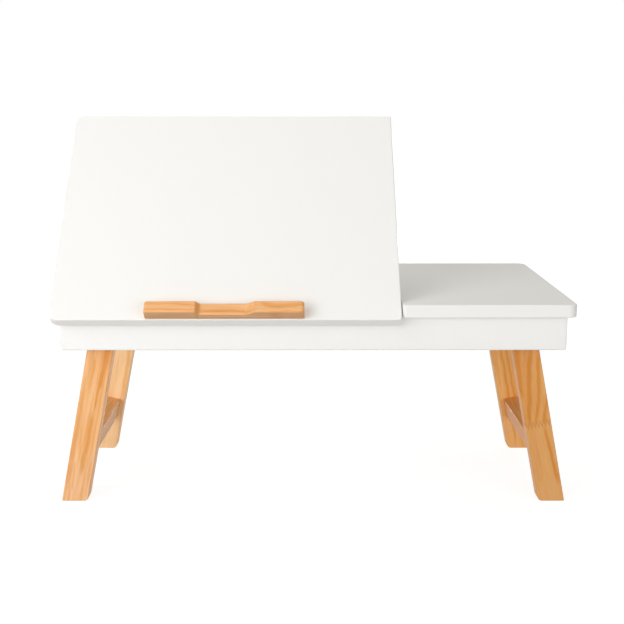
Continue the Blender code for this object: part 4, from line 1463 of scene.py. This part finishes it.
class LAPTOPTABLE_OT_stage(Builder, bpy.types.Operator):
    """Set the floor, the studio lamps, the world and the camera"""

    bl_idname = "laptop_table.stage"
    bl_label = "Stage"

    def floor(self, colours):
        """A pale floor that shows white away from the table and keeps the table's shadow."""
        corners = [(-floor_reach, -floor_reach), (floor_reach, -floor_reach),
                   (floor_reach, floor_reach), (-floor_reach, floor_reach)]
        solid = bmesh.new()
        solid.faces.new([solid.verts.new((x, y, 0)) for x, y in corners])
        floor = as_object("floor", solid)
        recipe = Recipe("studio_floor")
        seen = recipe.seen()
        point = recipe.place(carried=False)
        mottle = recipe.noise(point, (3, 3, 3), detail=3)
        away = recipe.node("VectorMath", {0: point}, operation="LENGTH").outputs["Value"]
        glow = recipe.span(away, 0.6, 1.6, 0.84, 1.0)
        colour = recipe.mix(seen, tuple(colours.floor), tuple(colours.floor_seen))
        recipe.set(Base_Color=colour, Roughness=recipe.span(mottle, 0.3, 0.7, 0.8, 0.9),
                   Emission_Color=(1, 1, 1, 1),
                   Emission_Strength=recipe.math("MULTIPLY", seen, glow),
                   Specular_IOR_Level=0.1)
        floor.data.materials.append(recipe.material)

    def lamp(self, values):
        """One soft box lamp."""
        light = bpy.data.lights.new(values.name, "AREA")
        light.shape = "RECTANGLE"
        light.size, light.size_y = values.width, values.height
        light.energy = values.watts
        light.color = values.colour
        item = bpy.data.objects.new(values.name, light)
        turn, rise = radians(values.azimuth), radians(values.elevation)
        back = Vector((sin(turn) * cos(rise), -cos(turn) * cos(rise), sin(rise)))
        item.location = Vector((0, 0, values.aim_height)) + back * values.distance
        item.rotation_euler = back.to_track_quat("Z", "Y").to_euler()
        bpy.context.scene.collection.objects.link(item)

    def world(self, colours):
        """White where it is seen, and a dim even light on the table."""
        world = bpy.data.worlds.new("studio")
        world.use_nodes = True
        nodes = Nodes(world.node_tree)
        colour = nodes.mix(nodes.seen(), tuple(colours.ambient), (1, 1, 1))
        background = nodes.node("Background", {"Color": colour})
        nodes.node("OutputWorld", {"Surface": background.outputs["Background"]})
        bpy.context.scene.world = world

    def camera(self):
        """The camera at the photograph's viewing angle."""
        data = bpy.data.cameras.new("camera")
        data.sensor_width = camera_sensor
        data.lens = camera_lens
        data.shift_x, data.shift_y = camera_shift
        data.clip_start, data.clip_end = camera_clip
        camera = bpy.data.objects.new("camera", data)
        camera.location = camera_place
        camera.rotation_euler = camera_turn
        bpy.context.scene.collection.objects.link(camera)
        bpy.context.scene.camera = camera

    def build(self, sizes, colours):
        self.floor(colours)
        for values in lamps:
            self.lamp(values)
        self.world(colours)
        self.camera()
        bpy.context.scene.view_settings.view_transform = "Standard"


builders = (
    LAPTOPTABLE_OT_lid_board,
    LAPTOPTABLE_OT_panel_board,
    LAPTOPTABLE_OT_frame_boards,
    LAPTOPTABLE_OT_book_ledge,
    LAPTOPTABLE_OT_legs,
    LAPTOPTABLE_OT_rails,
    LAPTOPTABLE_OT_leg_bolts,
    LAPTOPTABLE_OT_hinges,
    LAPTOPTABLE_OT_stand,
    LAPTOPTABLE_OT_hidden_fixings,
    LAPTOPTABLE_OT_stage,
)


class LAPTOPTABLE_PT_panel(bpy.types.Panel):
    """Lists the pieces of the laptop table with their sizes and colours"""

    bl_label = "Laptop table"
    bl_idname = "LAPTOPTABLE_PT_panel"
    bl_space_type = "VIEW_3D"
    bl_region_type = "UI"
    bl_category = "Laptop table"

    def draw(self, context):
        layout = self.layout
        for builder in builders:
            layout.operator(builder.bl_idname)
        for heading, group in (("Sizes", context.scene.laptop_table_sizes),
                               ("Colours", context.scene.laptop_table_colours)):
            box = layout.box()
            box.label(text=heading)
            for name in group.__annotations__:
                box.prop(group, name)


classes = (LaptopTableSizes, LaptopTableColours, *builders, LAPTOPTABLE_PT_panel)


def register():
    for cls in classes:
        bpy.utils.register_class(cls)
    bpy.types.Scene.laptop_table_sizes = PointerProperty(type=LaptopTableSizes)
    bpy.types.Scene.laptop_table_colours = PointerProperty(type=LaptopTableColours)


def unregister():
    del bpy.types.Scene.laptop_table_colours
    del bpy.types.Scene.laptop_table_sizes
    for cls in reversed(classes):
        bpy.utils.unregister_class(cls)


def main():
    register()
    for builder in builders:
        family, name = builder.bl_idname.split(".")
        getattr(getattr(bpy.ops, family), name)()


if __name__ == "__main__":
    main()
